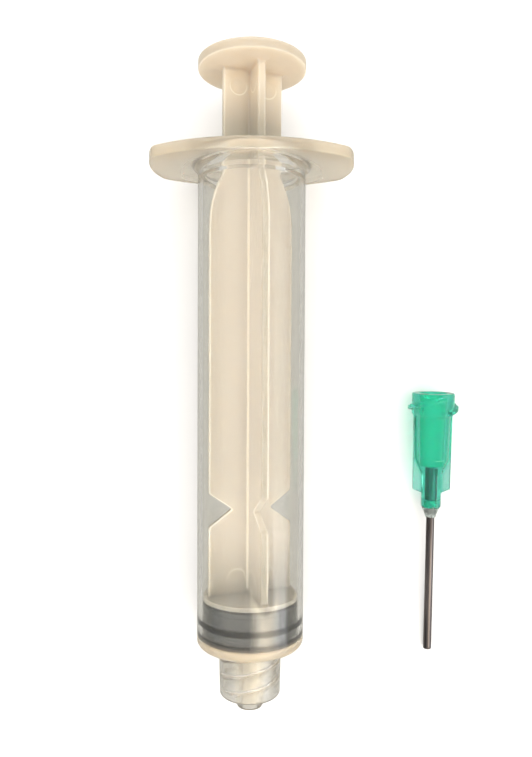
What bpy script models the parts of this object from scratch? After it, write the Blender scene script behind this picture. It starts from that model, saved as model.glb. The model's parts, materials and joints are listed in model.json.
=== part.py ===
"""Luer-lock dispensing syringe lying on a table, with its blunt needle beside it.

Metres, +Z up. The syringe lies along Y with its nozzle towards -Y, resting on the
rim of its barrel and on the edge of its finger flange. Each piece is drawn upright
about its own Z axis and laid down by the empty that carries it.
"""

import math

import bmesh
import bpy
from mathutils import Matrix, Vector

# Barrel: bore, wall and lengths along the axis, counted from the nozzle's tip.
BORE_DIAMETER = 0.0145
BARREL_WALL = 0.00075
BORE_LENGTH = 0.0718
FRONT_WALL = 0.0008
BARREL_RIM_RADIUS = 0.0007
MOUTH_CHAMFER = 0.0004
BEAD_BELOW_MOUTH = 0.0030
BEAD_HEIGHT = 0.00025
BEAD_HALF_WIDTH = 0.0006

# Luer nozzle: cone with the standard 6 % taper inside a collar.
NOZZLE_TIP_DIAMETER = 0.00396
LUER_TAPER = 0.06
NOZZLE_BORE = 0.0021
NOZZLE_TIP_ROUND = 0.00025
NOZZLE_PROUD = 0.0022
COLLAR_LENGTH = 0.0076
COLLAR_BORE = 0.0080
COLLAR_WALL = 0.00055
COLLAR_DRAFT = 0.00015
COLLAR_CHAMFER = 0.00015

# Luer thread: two ridges inside the collar, on the lead that the needle's lugs follow.
LUER_LEAD = 0.0050
LUER_STARTS = 2
THREAD_HEIGHT = 0.00045
THREAD_ROOT_WIDTH = 0.0010
THREAD_CREST_WIDTH = 0.0004
THREAD_END_GAP = 0.0007
THREAD_START = math.radians(65)

# Finger flange: two long arcs and two tip arcs, with rounded corners.
FLANGE_THICKNESS = 0.0016
FLANGE_LEDGE = 0.0020
FLANGE_WING = 0.0071
FLANGE_SIDE_RADIUS = 0.0245
FLANGE_TIP_RADIUS = 0.0140
FLANGE_CORNER_RADIUS = 0.0020
FLANGE_EDGE_ROUND = 0.0003
FLANGE_ROOT_FILLET = 0.0012

# Plunger rod: crossed ribs between a thumb rest and a disc with a stud.
RIB_THICKNESS = 0.0011
RIB_CLEARANCE = 0.0008
NECK_INSET = 0.00195
SHOULDER_BELOW_MOUTH = 0.0104
SHOULDER_RADIUS = 0.0160
NOTCH_ABOVE_DISC = 0.0127
NOTCH_HALF_SPAN = 0.0023
NOTCH_DEPTH = 0.0033
NOTCH_ROUND = 0.0006
DISC_THICKNESS = 0.0007
DISC_CLEARANCE = 0.0002
THUMB_STANDOFF = 0.0126
THUMB_DIAMETER = 0.0160
THUMB_THICKNESS = 0.00145
THUMB_EDGE_ROUND = 0.0004
STUD_NECK_DIAMETER = 0.0040
STUD_NECK_LENGTH = 0.0014
STUD_HEAD_DIAMETER = 0.0064
STUD_HEAD_LENGTH = 0.0016
ROD_TURN = math.radians(19.5)

# Piston seal: two sealing ribs and a top land on a waisted rubber body.
SEAL_HEIGHT = 0.0056
SEAL_CLEARANCE = 0.0003
SEAL_WAIST_DEPTH = 0.0002
SEAL_RIB_WIDTH = 0.0010
SEAL_UPPER_RIB_HEIGHT = 0.0027
SEAL_TOP_LAND = 0.0006

# Needle: luer socket hub with two wings and two lugs, steel tube, epoxy bead.
NEEDLE_TUBE_DIAMETER = 0.00127
NEEDLE_TUBE_BORE = 0.00084
NEEDLE_REACH = 0.0218
HUB_LENGTH = 0.0182
HUB_MOUTH_DIAMETER = 0.0066
HUB_MOUTH_LENGTH = 0.0032
HUB_MOUTH_ROUND = 0.00025
SOCKET_DIAMETER = 0.00427
SOCKET_DEPTH = 0.0115
SOCKET_WALL = 0.00065
NOSE_DIAMETER = 0.0031
NOSE_LENGTH = 0.0051
NOSE_TAPER_LENGTH = 0.0026
WING_SPAN = 0.0061
WING_THICKNESS = 0.0010
WING_LENGTH = 0.0154
WING_SLOPE = 0.0008
WING_DRAFT = 0.00012
LUG_DIAMETER = 0.0078
LUG_WIDTH = 0.0009
LUG_CREST_WIDTH = 0.0007
LUG_SWEEP = math.radians(175)
LUG_START = math.radians(115)
LUG_BELOW_MOUTH = 0.0001
GLUE_GAP = 0.0001
GLUE_WELL_DIAMETER = 0.0022
GLUE_WELL_DEPTH = 0.0012
GLUE_CONE_LENGTH = 0.0017
GLUE_CONE_DIAMETER = 0.0029
GLUE_SKIRT = 0.0002

# The needle lies beside the barrel, its mouth level with a point along it.
NEEDLE_ASIDE = 0.0287
NEEDLE_MOUTH_ALONG = 0.0475

# Numbers of sides leave a flat facet, not a corner, facing the table.
BARREL_SIDES = 54
NEEDLE_SIDES = 30
ARC_STEPS = 4
FLANGE_SIDE_STEPS = 15
LUG_STEPS = 10
THREAD_STEPS = 44
CUT_OVERRUN = 0.0010
UNION_LAP = 0.0003
MERGE = 0.000001
FLAT_ANGLE = math.radians(0.1)

# Stations along the syringe's axis.
FRONT_FACE = NOZZLE_PROUD + COLLAR_LENGTH
BORE_FLOOR = FRONT_FACE + FRONT_WALL
MOUTH = BORE_FLOOR + BORE_LENGTH
FLANGE_UNDERSIDE = MOUTH - FLANGE_THICKNESS
SEAL_BOTTOM = BORE_FLOOR + SEAL_CLEARANCE
SEAL_TOP = SEAL_BOTTOM + SEAL_HEIGHT
DISC_BOTTOM = SEAL_TOP + SEAL_CLEARANCE
DISC_TOP = DISC_BOTTOM + DISC_THICKNESS
THUMB_UNDERSIDE = MOUTH + THUMB_STANDOFF
THUMB_TOP = THUMB_UNDERSIDE + THUMB_THICKNESS
STUD_END = DISC_BOTTOM - STUD_NECK_LENGTH - STUD_HEAD_LENGTH

# Radii that follow from the bore.
BORE_R = BORE_DIAMETER / 2
BARREL_R = BORE_R + BARREL_WALL
COLLAR_R = COLLAR_BORE / 2 + COLLAR_WALL
RIB_R = BORE_R - RIB_CLEARANCE
NECK_R = RIB_R - NECK_INSET
FLANGE_HALF_DEPTH = BARREL_R + FLANGE_LEDGE
FLANGE_HALF_LENGTH = BARREL_R + FLANGE_WING
NEEDLE_END = -HUB_LENGTH - GLUE_CONE_LENGTH - NEEDLE_REACH


def clear_scene():
    """Remove every object that the file opens with."""
    for obj in list(bpy.data.objects):
        bpy.data.objects.remove(obj, do_unlink=True)


def new_collection(name):
    """Make a collection under the scene's own."""
    collection = bpy.data.collections.new(name)
    bpy.context.scene.collection.children.link(collection)
    return collection


clear_scene()
PARTS = new_collection("dispensing_syringe")
CUTTERS = new_collection("cutters")


def new_material(name, colour, roughness, metallic=0.0):
    """A Principled material with one colour."""
    material = bpy.data.materials.new(name)
    material.use_nodes = True
    shader = material.node_tree.nodes["Principled BSDF"]
    shader.inputs["Base Color"].default_value = (*colour, 1.0)
    shader.inputs["Roughness"].default_value = roughness
    shader.inputs["Metallic"].default_value = metallic
    return material


def new_object(name, data, carrier):
    """Link an object to the parts and hang it on the empty that carries it."""
    obj = bpy.data.objects.new(name, data)
    PARTS.objects.link(obj)
    obj.parent = carrier
    return obj


def as_tool(obj):
    """Make an object a guide that only shapes another one."""
    PARTS.objects.unlink(obj)
    CUTTERS.objects.link(obj)
    obj.hide_render = True
    obj.display_type = "WIRE"
    return obj


def combine(obj, tool, operation):
    """Join a tool to an object, or cut it out, with an exact Boolean."""
    modifier = obj.modifiers.new(tool.name, "BOOLEAN")
    modifier.operation = operation
    modifier.solver = "EXACT"
    modifier.object = as_tool(tool)


def weld(obj):
    """Merge the twin points that a cut leaves on its rim, so that the next one meets clean edges."""
    modifier = obj.modifiers.new("weld", "WELD")
    modifier.merge_threshold = MERGE


def turned(name, profile, sides, carrier):
    """Turn a profile of (radius, height) points, given down its outer side, about Z."""
    mesh = bpy.data.meshes.new(name)
    points = [(radius, 0.0, height) for radius, height in profile]
    edges = [(i, i + 1) for i in range(len(points) - 1)]
    mesh.from_pydata(points, edges, [])
    obj = new_object(name, mesh, carrier)
    screw = obj.modifiers.new("turn", "SCREW")
    screw.axis = "Z"
    screw.steps = sides
    screw.render_steps = sides
    screw.use_merge_vertices = True
    screw.merge_threshold = MERGE
    screw.use_smooth_shade = True
    return obj


def ring_profile(points):
    """Close a profile that does not reach the axis by returning to its first point."""
    return points + points[:1]


def arc(centre, radius, start, end, steps):
    """Points on an arc, both ends included, angles in radians."""
    angles = [start + (end - start) * i / steps for i in range(steps + 1)]
    return [(centre[0] + radius * math.cos(a), centre[1] + radius * math.sin(a)) for a in angles]


def rounded(points, radii):
    """Round the corners of a closed outline, each by its own radius."""
    outline = []
    count = len(points)
    for i, radius in enumerate(radii):
        corner = Vector(points[i])
        if radius == 0.0:
            outline.append(tuple(corner))
            continue
        back = (Vector(points[i - 1]) - corner).normalized()
        ahead = (Vector(points[(i + 1) % count]) - corner).normalized()
        half = back.angle(ahead) / 2
        start = corner + back * (radius / math.tan(half))
        centre = corner + (back + ahead).normalized() * (radius / math.sin(half))
        first = start - centre
        turn = math.pi - 2 * half
        side = 1.0 if back.cross(ahead) < 0.0 else -1.0
        for step in range(ARC_STEPS + 1):
            spoke = Matrix.Rotation(side * turn * step / ARC_STEPS, 2) @ first
            outline.append(tuple(centre + spoke))
    return outline


def plate(name, outline, thickness, carrier, turn=None):
    """Extrude a flat outline to both sides of its plane, then turn it into place."""
    curve = bpy.data.curves.new(name, "CURVE")
    curve.dimensions = "2D"
    curve.fill_mode = "BOTH"
    curve.extrude = thickness / 2
    spline = curve.splines.new("POLY")
    spline.points.add(len(outline[1:]))
    for point, (x, y) in zip(spline.points, outline):
        point.co = (x, y, 0.0, 1.0)
    spline.use_cyclic_u = True
    guide = bpy.data.objects.new(name, curve)
    PARTS.objects.link(guide)
    bpy.context.view_layer.update()
    mesh = bpy.data.meshes.new_from_object(guide.evaluated_get(bpy.context.evaluated_depsgraph_get()))
    bpy.data.objects.remove(guide, do_unlink=True)
    bpy.data.curves.remove(curve)
    shape = bmesh.new()
    shape.from_mesh(mesh)
    bmesh.ops.remove_doubles(shape, verts=shape.verts, dist=MERGE)
    bmesh.ops.dissolve_limit(shape, angle_limit=FLAT_ANGLE, verts=shape.verts, edges=shape.edges)
    bmesh.ops.transform(shape, matrix=turn or Matrix.Identity(4), verts=shape.verts)
    bmesh.ops.recalc_face_normals(shape, faces=shape.faces)
    shape.to_mesh(mesh)
    shape.free()
    mesh.name = name
    return new_object(name, mesh, carrier)


def empty(name, parent=None):
    """An empty that carries pieces on its own Z axis."""
    obj = bpy.data.objects.new(name, None)
    PARTS.objects.link(obj)
    obj.parent = parent
    return obj


def circles_meet(centre_a, radius_a, centre_b, radius_b):
    """The upper right crossing of two circles."""
    a = Vector(centre_a)
    b = Vector(centre_b)
    apart = (b - a).length
    along = (apart ** 2 + radius_a ** 2 - radius_b ** 2) / (2 * apart)
    across = math.sqrt(radius_a ** 2 - along ** 2)
    way = (b - a).normalized()
    side = Vector((-way.y, way.x))
    return max((a + way * along + side * s for s in (across, -across)), key=lambda p: p.x + p.y)


def flange_outline():
    """Lens of two long side arcs and two tip arcs, with a corner arc between each pair."""
    side_centre = (0.0, FLANGE_HALF_DEPTH - FLANGE_SIDE_RADIUS)
    tip_centre = (FLANGE_HALF_LENGTH - FLANGE_TIP_RADIUS, 0.0)
    corner = circles_meet(
        side_centre, FLANGE_SIDE_RADIUS - FLANGE_CORNER_RADIUS,
        tip_centre, FLANGE_TIP_RADIUS - FLANGE_CORNER_RADIUS)
    side_angle = math.atan2(corner.y - side_centre[1], corner.x - side_centre[0])
    tip_angle = math.atan2(corner.y - tip_centre[1], corner.x - tip_centre[0])
    tip = arc(tip_centre, FLANGE_TIP_RADIUS, -tip_angle, tip_angle, ARC_STEPS)
    turn = arc(corner, FLANGE_CORNER_RADIUS, tip_angle, side_angle, ARC_STEPS)
    side = arc(side_centre, FLANGE_SIDE_RADIUS, side_angle, math.pi - side_angle, FLANGE_SIDE_STEPS)
    half = tip + turn[1:] + side[1:]
    half += [(-x, y) for x, y in reversed(turn[:-1])]
    other = [(-x, -y) for x, y in half[1:ARC_STEPS * 2 + FLANGE_SIDE_STEPS]]
    return half + other


def nozzle_radius(height):
    """Radius of the luer cone at a height above its tip."""
    return NOZZLE_TIP_DIAMETER / 2 + LUER_TAPER / 2 * height


def barrel_outside():
    """Profile of the root fillet under the flange, the barrel, the collar and the cone's tip."""
    flare = BARREL_R + FLANGE_ROOT_FILLET
    flare_foot = FLANGE_UNDERSIDE - FLANGE_ROOT_FILLET
    rim_inner = BARREL_R - BARREL_RIM_RADIUS
    rim_top = FRONT_FACE + BARREL_RIM_RADIUS
    tip_inner = nozzle_radius(NOZZLE_TIP_ROUND) - NOZZLE_TIP_ROUND
    profile = [(0.0, FLANGE_UNDERSIDE + UNION_LAP), (flare, FLANGE_UNDERSIDE + UNION_LAP)]
    profile += arc((flare, flare_foot), FLANGE_ROOT_FILLET, math.pi / 2, math.pi, ARC_STEPS)
    profile += arc((rim_inner, rim_top), BARREL_RIM_RADIUS, 0.0, -math.pi / 2, ARC_STEPS)
    profile += [(COLLAR_R + COLLAR_DRAFT, FRONT_FACE)]
    profile += [(COLLAR_R, NOZZLE_PROUD + COLLAR_CHAMFER), (COLLAR_R - COLLAR_CHAMFER, NOZZLE_PROUD)]
    profile += [(nozzle_radius(NOZZLE_PROUD), NOZZLE_PROUD)]
    profile += arc((tip_inner, NOZZLE_TIP_ROUND), NOZZLE_TIP_ROUND, 0.0, -math.pi / 2, ARC_STEPS)
    profile += [(0.0, 0.0)]
    return profile


def barrel_inside():
    """Profile of the mouth chamfer, the bore with its stop bead, and the nozzle's hole."""
    bead = MOUTH - BEAD_BELOW_MOUTH
    chamfer = BORE_R + MOUTH_CHAMFER + CUT_OVERRUN
    hole_r = NOZZLE_BORE / 2
    return [
        (0.0, MOUTH + CUT_OVERRUN),
        (chamfer, MOUTH + CUT_OVERRUN),
        (BORE_R, MOUTH - MOUTH_CHAMFER),
        (BORE_R, bead + BEAD_HALF_WIDTH),
        (BORE_R - BEAD_HEIGHT, bead),
        (BORE_R, bead - BEAD_HALF_WIDTH),
        (BORE_R, BORE_FLOOR),
        (hole_r, BORE_FLOOR),
        (hole_r, -CUT_OVERRUN),
        (0.0, -CUT_OVERRUN),
    ]


def collar_hollow():
    """Ring cut between the collar and the cone, opening out below the collar's end."""
    collar_r = COLLAR_BORE / 2
    below = NOZZLE_PROUD - CUT_OVERRUN
    return ring_profile([
        (nozzle_radius(FRONT_FACE), FRONT_FACE),
        (collar_r, FRONT_FACE),
        (collar_r, NOZZLE_PROUD + COLLAR_CHAMFER),
        (collar_r + COLLAR_CHAMFER + CUT_OVERRUN, below),
        (nozzle_radius(NOZZLE_PROUD) + CUT_OVERRUN, below),
        (nozzle_radius(NOZZLE_PROUD), NOZZLE_PROUD),
    ])


def helix(name, section, start, sweep, steps, carrier):
    """Carry a section of (radius, height) points about Z on the luer lead, right-handed."""
    shape = bmesh.new()
    corners = [shape.verts.new((radius, 0.0, height)) for radius, height in section]
    face = shape.faces.new(corners)
    bmesh.ops.rotate(shape, matrix=Matrix.Rotation(start, 3, "Z"), verts=shape.verts)
    climb = LUER_LEAD * sweep / (2 * math.pi)
    bmesh.ops.spin(
        shape, geom=[face] + face.edges[:] + face.verts[:], axis=(0.0, 0.0, 1.0), cent=(0.0, 0.0, 0.0),
        dvec=(0.0, 0.0, climb / steps), angle=sweep, steps=steps)
    bmesh.ops.recalc_face_normals(shape, faces=shape.faces)
    mesh = bpy.data.meshes.new(name)
    shape.to_mesh(mesh)
    shape.free()
    return new_object(name, mesh, carrier)


def thread_section():
    """Trapezoid of one thread ridge at its lower end, from inside the collar's wall to the crest."""
    root_r = COLLAR_BORE / 2 + UNION_LAP
    crest_r = COLLAR_BORE / 2 - THREAD_HEIGHT
    half = THREAD_ROOT_WIDTH / 2
    crest_half = THREAD_CREST_WIDTH / 2
    middle = NOZZLE_PROUD + THREAD_END_GAP + half
    return [
        (root_r, middle + half),
        (crest_r, middle + crest_half),
        (crest_r, middle - crest_half),
        (root_r, middle - half),
    ]


def make_barrel(carrier):
    """Moulding of tube, finger flange, luer collar and cone."""
    barrel = turned("barrel", barrel_outside(), BARREL_SIDES, carrier)
    barrel.data.materials.append(new_material("natural_barrel", (0.82, 0.83, 0.80), 0.25))
    flange = plate("flange_plate", flange_outline(), FLANGE_THICKNESS, carrier)
    flange.location.z = FLANGE_UNDERSIDE + FLANGE_THICKNESS / 2
    edge = flange.modifiers.new("edge", "BEVEL")
    edge.width = FLANGE_EDGE_ROUND
    edge.segments = 2
    edge.limit_method = "ANGLE"
    edge.angle_limit = math.radians(60)
    combine(barrel, flange, "UNION")
    combine(barrel, turned("bore_cut", barrel_inside(), BARREL_SIDES, carrier), "DIFFERENCE")
    combine(barrel, turned("collar_cut", collar_hollow(), BARREL_SIDES, carrier), "DIFFERENCE")
    weld(barrel)
    climb = COLLAR_LENGTH - 2 * THREAD_END_GAP - THREAD_ROOT_WIDTH
    sweep = 2 * math.pi * climb / LUER_LEAD
    for start in range(LUER_STARTS):
        turn = THREAD_START + 2 * math.pi * start / LUER_STARTS
        ridge = helix(f"thread_{start + 1}", thread_section(), turn, sweep, THREAD_STEPS, carrier)
        combine(barrel, ridge, "UNION")
    return barrel


def rib_outline():
    """Half-width along the rod: notch near the seal, curved shoulder, narrow neck."""
    foot = DISC_TOP - DISC_THICKNESS / 2
    head = THUMB_UNDERSIDE + THUMB_THICKNESS / 2
    notch = DISC_TOP + NOTCH_ABOVE_DISC
    corners = [
        (RIB_R, foot),
        (RIB_R, notch - NOTCH_HALF_SPAN),
        (RIB_R - NOTCH_DEPTH, notch),
        (RIB_R, notch + NOTCH_HALF_SPAN),
        (NECK_R, head),
    ]
    right = rounded(corners, [0.0, NOTCH_ROUND, NOTCH_ROUND, NOTCH_ROUND, 0.0])[:-1]
    shoulder = MOUTH - SHOULDER_BELOW_MOUTH
    fall = math.acos((SHOULDER_RADIUS - NECK_INSET) / SHOULDER_RADIUS)
    right += arc((RIB_R - SHOULDER_RADIUS, shoulder), SHOULDER_RADIUS, 0.0, fall, 2 * ARC_STEPS)
    right += [(NECK_R, head)]
    return right + [(-x, z) for x, z in reversed(right)]


def disc_and_stud():
    """Disc that backs the seal, with the mushroom stud that holds it."""
    disc_r = BORE_R - DISC_CLEARANCE
    neck_r = STUD_NECK_DIAMETER / 2
    head_r = STUD_HEAD_DIAMETER / 2
    neck_end = DISC_BOTTOM - STUD_NECK_LENGTH
    return [
        (0.0, DISC_TOP),
        (disc_r, DISC_TOP),
        (disc_r, DISC_BOTTOM),
        (neck_r, DISC_BOTTOM),
        (neck_r, neck_end),
        (head_r, neck_end),
        (neck_r, STUD_END),
        (0.0, STUD_END),
    ]


def thumb_profile():
    """Flat round thumb rest with rounded edges."""
    radius = THUMB_DIAMETER / 2
    inner = radius - THUMB_EDGE_ROUND
    upper = arc((inner, THUMB_TOP - THUMB_EDGE_ROUND), THUMB_EDGE_ROUND, math.pi / 2, 0.0, ARC_STEPS)
    lower = arc((inner, THUMB_UNDERSIDE + THUMB_EDGE_ROUND), THUMB_EDGE_ROUND, 0.0, -math.pi / 2, ARC_STEPS)
    return [(0.0, THUMB_TOP)] + upper + lower + [(0.0, THUMB_UNDERSIDE)]


def make_plunger_rod(carrier):
    """Cross-ribbed rod with a thumb rest above and a disc and stud below."""
    upright = Matrix.Rotation(math.pi / 2, 4, "X")
    crossing = Matrix.Rotation(math.pi / 2, 4, "Z") @ upright
    rod = plate("plunger_rod", rib_outline(), RIB_THICKNESS, carrier, upright)
    rod.data.materials.append(new_material("natural_rod", (0.86, 0.82, 0.74), 0.35))
    combine(rod, plate("cross_rib", rib_outline(), RIB_THICKNESS, carrier, crossing), "UNION")
    combine(rod, turned("thumb_rest", thumb_profile(), BARREL_SIDES, carrier), "UNION")
    combine(rod, turned("disc_stud", disc_and_stud(), BARREL_SIDES, carrier), "UNION")
    return rod


def seal_profile():
    """Closed half-section of the seal: ribs outside, stud pocket inside."""
    rib_r = BORE_R - SEAL_CLEARANCE
    waist_r = rib_r - SEAL_WAIST_DEPTH
    slope = SEAL_WAIST_DEPTH / 2
    upper = SEAL_BOTTOM + SEAL_UPPER_RIB_HEIGHT
    neck_r = STUD_NECK_DIAMETER / 2 + SEAL_CLEARANCE
    head_r = STUD_HEAD_DIAMETER / 2 + SEAL_CLEARANCE
    pocket_top = DISC_BOTTOM - STUD_NECK_LENGTH + SEAL_CLEARANCE
    pocket_floor = STUD_END - SEAL_CLEARANCE
    return [
        (neck_r, SEAL_TOP),
        (waist_r, SEAL_TOP),
        (rib_r - slope, SEAL_TOP - slope),
        (rib_r - slope, SEAL_TOP - SEAL_TOP_LAND),
        (waist_r, SEAL_TOP - SEAL_TOP_LAND - slope),
        (waist_r, upper + SEAL_RIB_WIDTH / 2 + slope),
        (rib_r, upper + SEAL_RIB_WIDTH / 2),
        (rib_r, upper - SEAL_RIB_WIDTH / 2),
        (waist_r, upper - SEAL_RIB_WIDTH / 2 - slope),
        (waist_r, SEAL_BOTTOM + SEAL_RIB_WIDTH + slope),
        (rib_r, SEAL_BOTTOM + SEAL_RIB_WIDTH),
        (rib_r, SEAL_BOTTOM + slope),
        (rib_r - slope, SEAL_BOTTOM),
        (0.0, SEAL_BOTTOM),
    ], [
        (0.0, pocket_floor),
        (head_r - STUD_HEAD_LENGTH / 2, pocket_floor),
        (head_r, pocket_top - SEAL_CLEARANCE),
        (head_r, pocket_top),
        (neck_r, pocket_top),
        (neck_r, SEAL_TOP),
    ]


def make_piston_seal(carrier):
    """Rubber piston that slides in the bore and snaps over the stud."""
    outside, pocket = seal_profile()
    seal = turned("piston_seal", pocket + outside[1:], BARREL_SIDES, carrier)
    seal.data.materials.append(new_material("grey_rubber", (0.20, 0.22, 0.21), 0.6))
    return seal


def hub_outside():
    """Profile of the hub: mouth collar, socket tube, taper, nose."""
    mouth_r = HUB_MOUTH_DIAMETER / 2
    tube_r = SOCKET_DIAMETER / 2 + SOCKET_WALL
    step = mouth_r - tube_r
    nose_r = NOSE_DIAMETER / 2
    taper_end = -HUB_LENGTH + NOSE_LENGTH
    draft = LUER_TAPER / 2 * SOCKET_DEPTH / 2
    return [
        (0.0, 0.0),
        (mouth_r - HUB_MOUTH_ROUND, 0.0),
        (mouth_r, -HUB_MOUTH_ROUND),
        (mouth_r, -HUB_MOUTH_LENGTH),
        (tube_r, -HUB_MOUTH_LENGTH - step),
        (tube_r - draft, taper_end + NOSE_TAPER_LENGTH),
        (nose_r, taper_end),
        (nose_r, -HUB_LENGTH),
        (0.0, -HUB_LENGTH),
    ]


def hub_inside():
    """Profile of the tapered socket, the tube's hole and the glue well at the nose."""
    socket_r = SOCKET_DIAMETER / 2
    slope = LUER_TAPER / 2
    hole_r = NEEDLE_TUBE_DIAMETER / 2 + GLUE_GAP
    well_r = GLUE_WELL_DIAMETER / 2
    well_floor = -HUB_LENGTH + GLUE_WELL_DEPTH
    return [
        (0.0, CUT_OVERRUN),
        (socket_r + slope * CUT_OVERRUN, CUT_OVERRUN),
        (socket_r - slope * SOCKET_DEPTH, -SOCKET_DEPTH),
        (hole_r, -SOCKET_DEPTH),
        (hole_r, well_floor),
        (well_r, well_floor),
        (well_r, -HUB_LENGTH - CUT_OVERRUN),
        (0.0, -HUB_LENGTH - CUT_OVERRUN),
    ]


def wing_outline():
    """Both wings as one plate through the hub, with drafted edges and sloped ends."""
    top_r = WING_SPAN / 2
    foot_r = top_r - WING_DRAFT
    inner_r = NOSE_DIAMETER / 4
    top = -HUB_MOUTH_LENGTH / 2
    right = [(top_r, top), (foot_r, -WING_LENGTH), (inner_r, -WING_LENGTH - WING_SLOPE)]
    return right + [(-x, z) for x, z in reversed(right)]


def lug_section():
    """Trapezoid of one screw lug, from inside the mouth's wall to the crest."""
    root_r = HUB_MOUTH_DIAMETER / 2 - UNION_LAP
    crest_r = LUG_DIAMETER / 2
    half = LUG_WIDTH / 2
    crest_half = LUG_CREST_WIDTH / 2
    middle = -LUG_BELOW_MOUTH - half
    return [
        (root_r, middle + half),
        (crest_r, middle + crest_half),
        (crest_r, middle - crest_half),
        (root_r, middle - half),
    ]


def make_needle_hub(carrier):
    """Green luer-lock hub with two finger wings and two screw lugs."""
    upright = Matrix.Rotation(math.pi / 2, 4, "X")
    hub = turned("needle_hub", hub_outside(), NEEDLE_SIDES, carrier)
    hub.data.materials.append(new_material("green_hub", (0.02, 0.50, 0.26), 0.3))
    combine(hub, plate("wings", wing_outline(), WING_THICKNESS, carrier, upright), "UNION")
    for start in range(LUER_STARTS):
        turn = LUG_START + 2 * math.pi * start / LUER_STARTS
        lug = helix(f"lug_{start + 1}", lug_section(), turn, -LUG_SWEEP, LUG_STEPS, carrier)
        combine(hub, lug, "UNION")
    combine(hub, turned("socket_cut", hub_inside(), NEEDLE_SIDES, carrier), "DIFFERENCE")
    return hub


def make_needle_tube(carrier):
    """Blunt steel tube from the floor of the socket to the tip."""
    outer = NEEDLE_TUBE_DIAMETER / 2
    inner = NEEDLE_TUBE_BORE / 2
    top = -SOCKET_DEPTH - GLUE_GAP
    ring = ring_profile([(inner, top), (outer, top), (outer, NEEDLE_END), (inner, NEEDLE_END)])
    tube = turned("needle_tube", ring, NEEDLE_SIDES, carrier)
    tube.data.materials.append(new_material("needle_steel", (0.45, 0.43, 0.42), 0.25, 1.0))
    return tube


def make_needle_adhesive(carrier):
    """Epoxy that fills the well round the tube and ends in a cone below the nose."""
    hole_r = NEEDLE_TUBE_DIAMETER / 2 + GLUE_GAP
    plug_r = GLUE_WELL_DIAMETER / 2 - GLUE_GAP
    cone_r = GLUE_CONE_DIAMETER / 2
    top = -HUB_LENGTH + GLUE_WELL_DEPTH - GLUE_GAP
    face = -HUB_LENGTH - GLUE_GAP
    end = -HUB_LENGTH - GLUE_CONE_LENGTH
    ring = ring_profile([
        (hole_r, top), (plug_r, top), (plug_r, face), (cone_r, face),
        (hole_r + GLUE_SKIRT, end), (hole_r, end)])
    bead = turned("needle_adhesive", ring, NEEDLE_SIDES, carrier)
    bead.data.materials.append(new_material("clear_epoxy", (0.70, 0.78, 0.72), 0.2))
    return bead


def world_box(objects):
    """Lowest and highest corners of the finished pieces."""
    bpy.context.view_layer.update()
    graph = bpy.context.evaluated_depsgraph_get()
    points = []
    for obj in objects:
        shape = obj.evaluated_get(graph)
        points += [obj.matrix_world @ vertex.co for vertex in shape.data.vertices]
    low = Vector([min(p[i] for p in points) for i in range(3)])
    high = Vector([max(p[i] for p in points) for i in range(3)])
    return low, high


def lay_down(carrier, lean, aside, along, objects):
    """Lay a carrier's Z axis along +Y, raised by the lean, and lower it to the table."""
    carrier.rotation_euler.x = lean - math.pi / 2
    carrier.location = (aside, along, 0.0)
    low, _ = world_box(objects)
    carrier.location.z = -low.z


def main():
    """Build the pieces, lay syringe and needle down and centre them on the origin."""
    base = empty("table")
    syringe = empty("syringe_axis", base)
    turning = empty("rod_axis", syringe)
    turning.rotation_euler.z = ROD_TURN
    needle = empty("needle_axis", base)
    barrel = make_barrel(syringe)
    seal = make_piston_seal(syringe)
    rod = make_plunger_rod(turning)
    needle_parts = [make_needle_hub(needle), make_needle_tube(needle), make_needle_adhesive(needle)]
    syringe_parts = [barrel, seal, rod]

    rest_run = MOUTH - FLANGE_THICKNESS / 2 - FRONT_FACE - BARREL_RIM_RADIUS
    syringe_lean = math.atan2(FLANGE_LEDGE, rest_run)
    lay_down(syringe, syringe_lean, 0.0, 0.0, syringe_parts)
    lug_contact = LUG_BELOW_MOUTH + LUG_WIDTH / 2 + LUER_LEAD * (LUG_START - math.pi / 2) / (2 * math.pi)
    needle_drop = (LUG_DIAMETER - NEEDLE_TUBE_DIAMETER) / 2
    needle_lean = math.atan2(needle_drop, -NEEDLE_END - lug_contact)
    lay_down(needle, needle_lean, NEEDLE_ASIDE, NEEDLE_MOUTH_ALONG, needle_parts)

    low, high = world_box(syringe_parts + needle_parts)
    base.location = (-(low.x + high.x) / 2, -(low.y + high.y) / 2, 0.0)
    bpy.context.view_layer.update()


main()
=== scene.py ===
"""Looks of a luer-lock dispensing syringe lying beside its loose blunt needle.

Metres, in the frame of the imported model: the syringe lies along +Y with its thumb rest
far and its nozzle near, and the needle lies to its right. Every piece is a closed surface
worked out on a grid in its own upright frame and then laid along its axis.
"""

import json
import logging
import math
from dataclasses import dataclass, field
from enum import Enum
from typing import Any, Optional, Union

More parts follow.
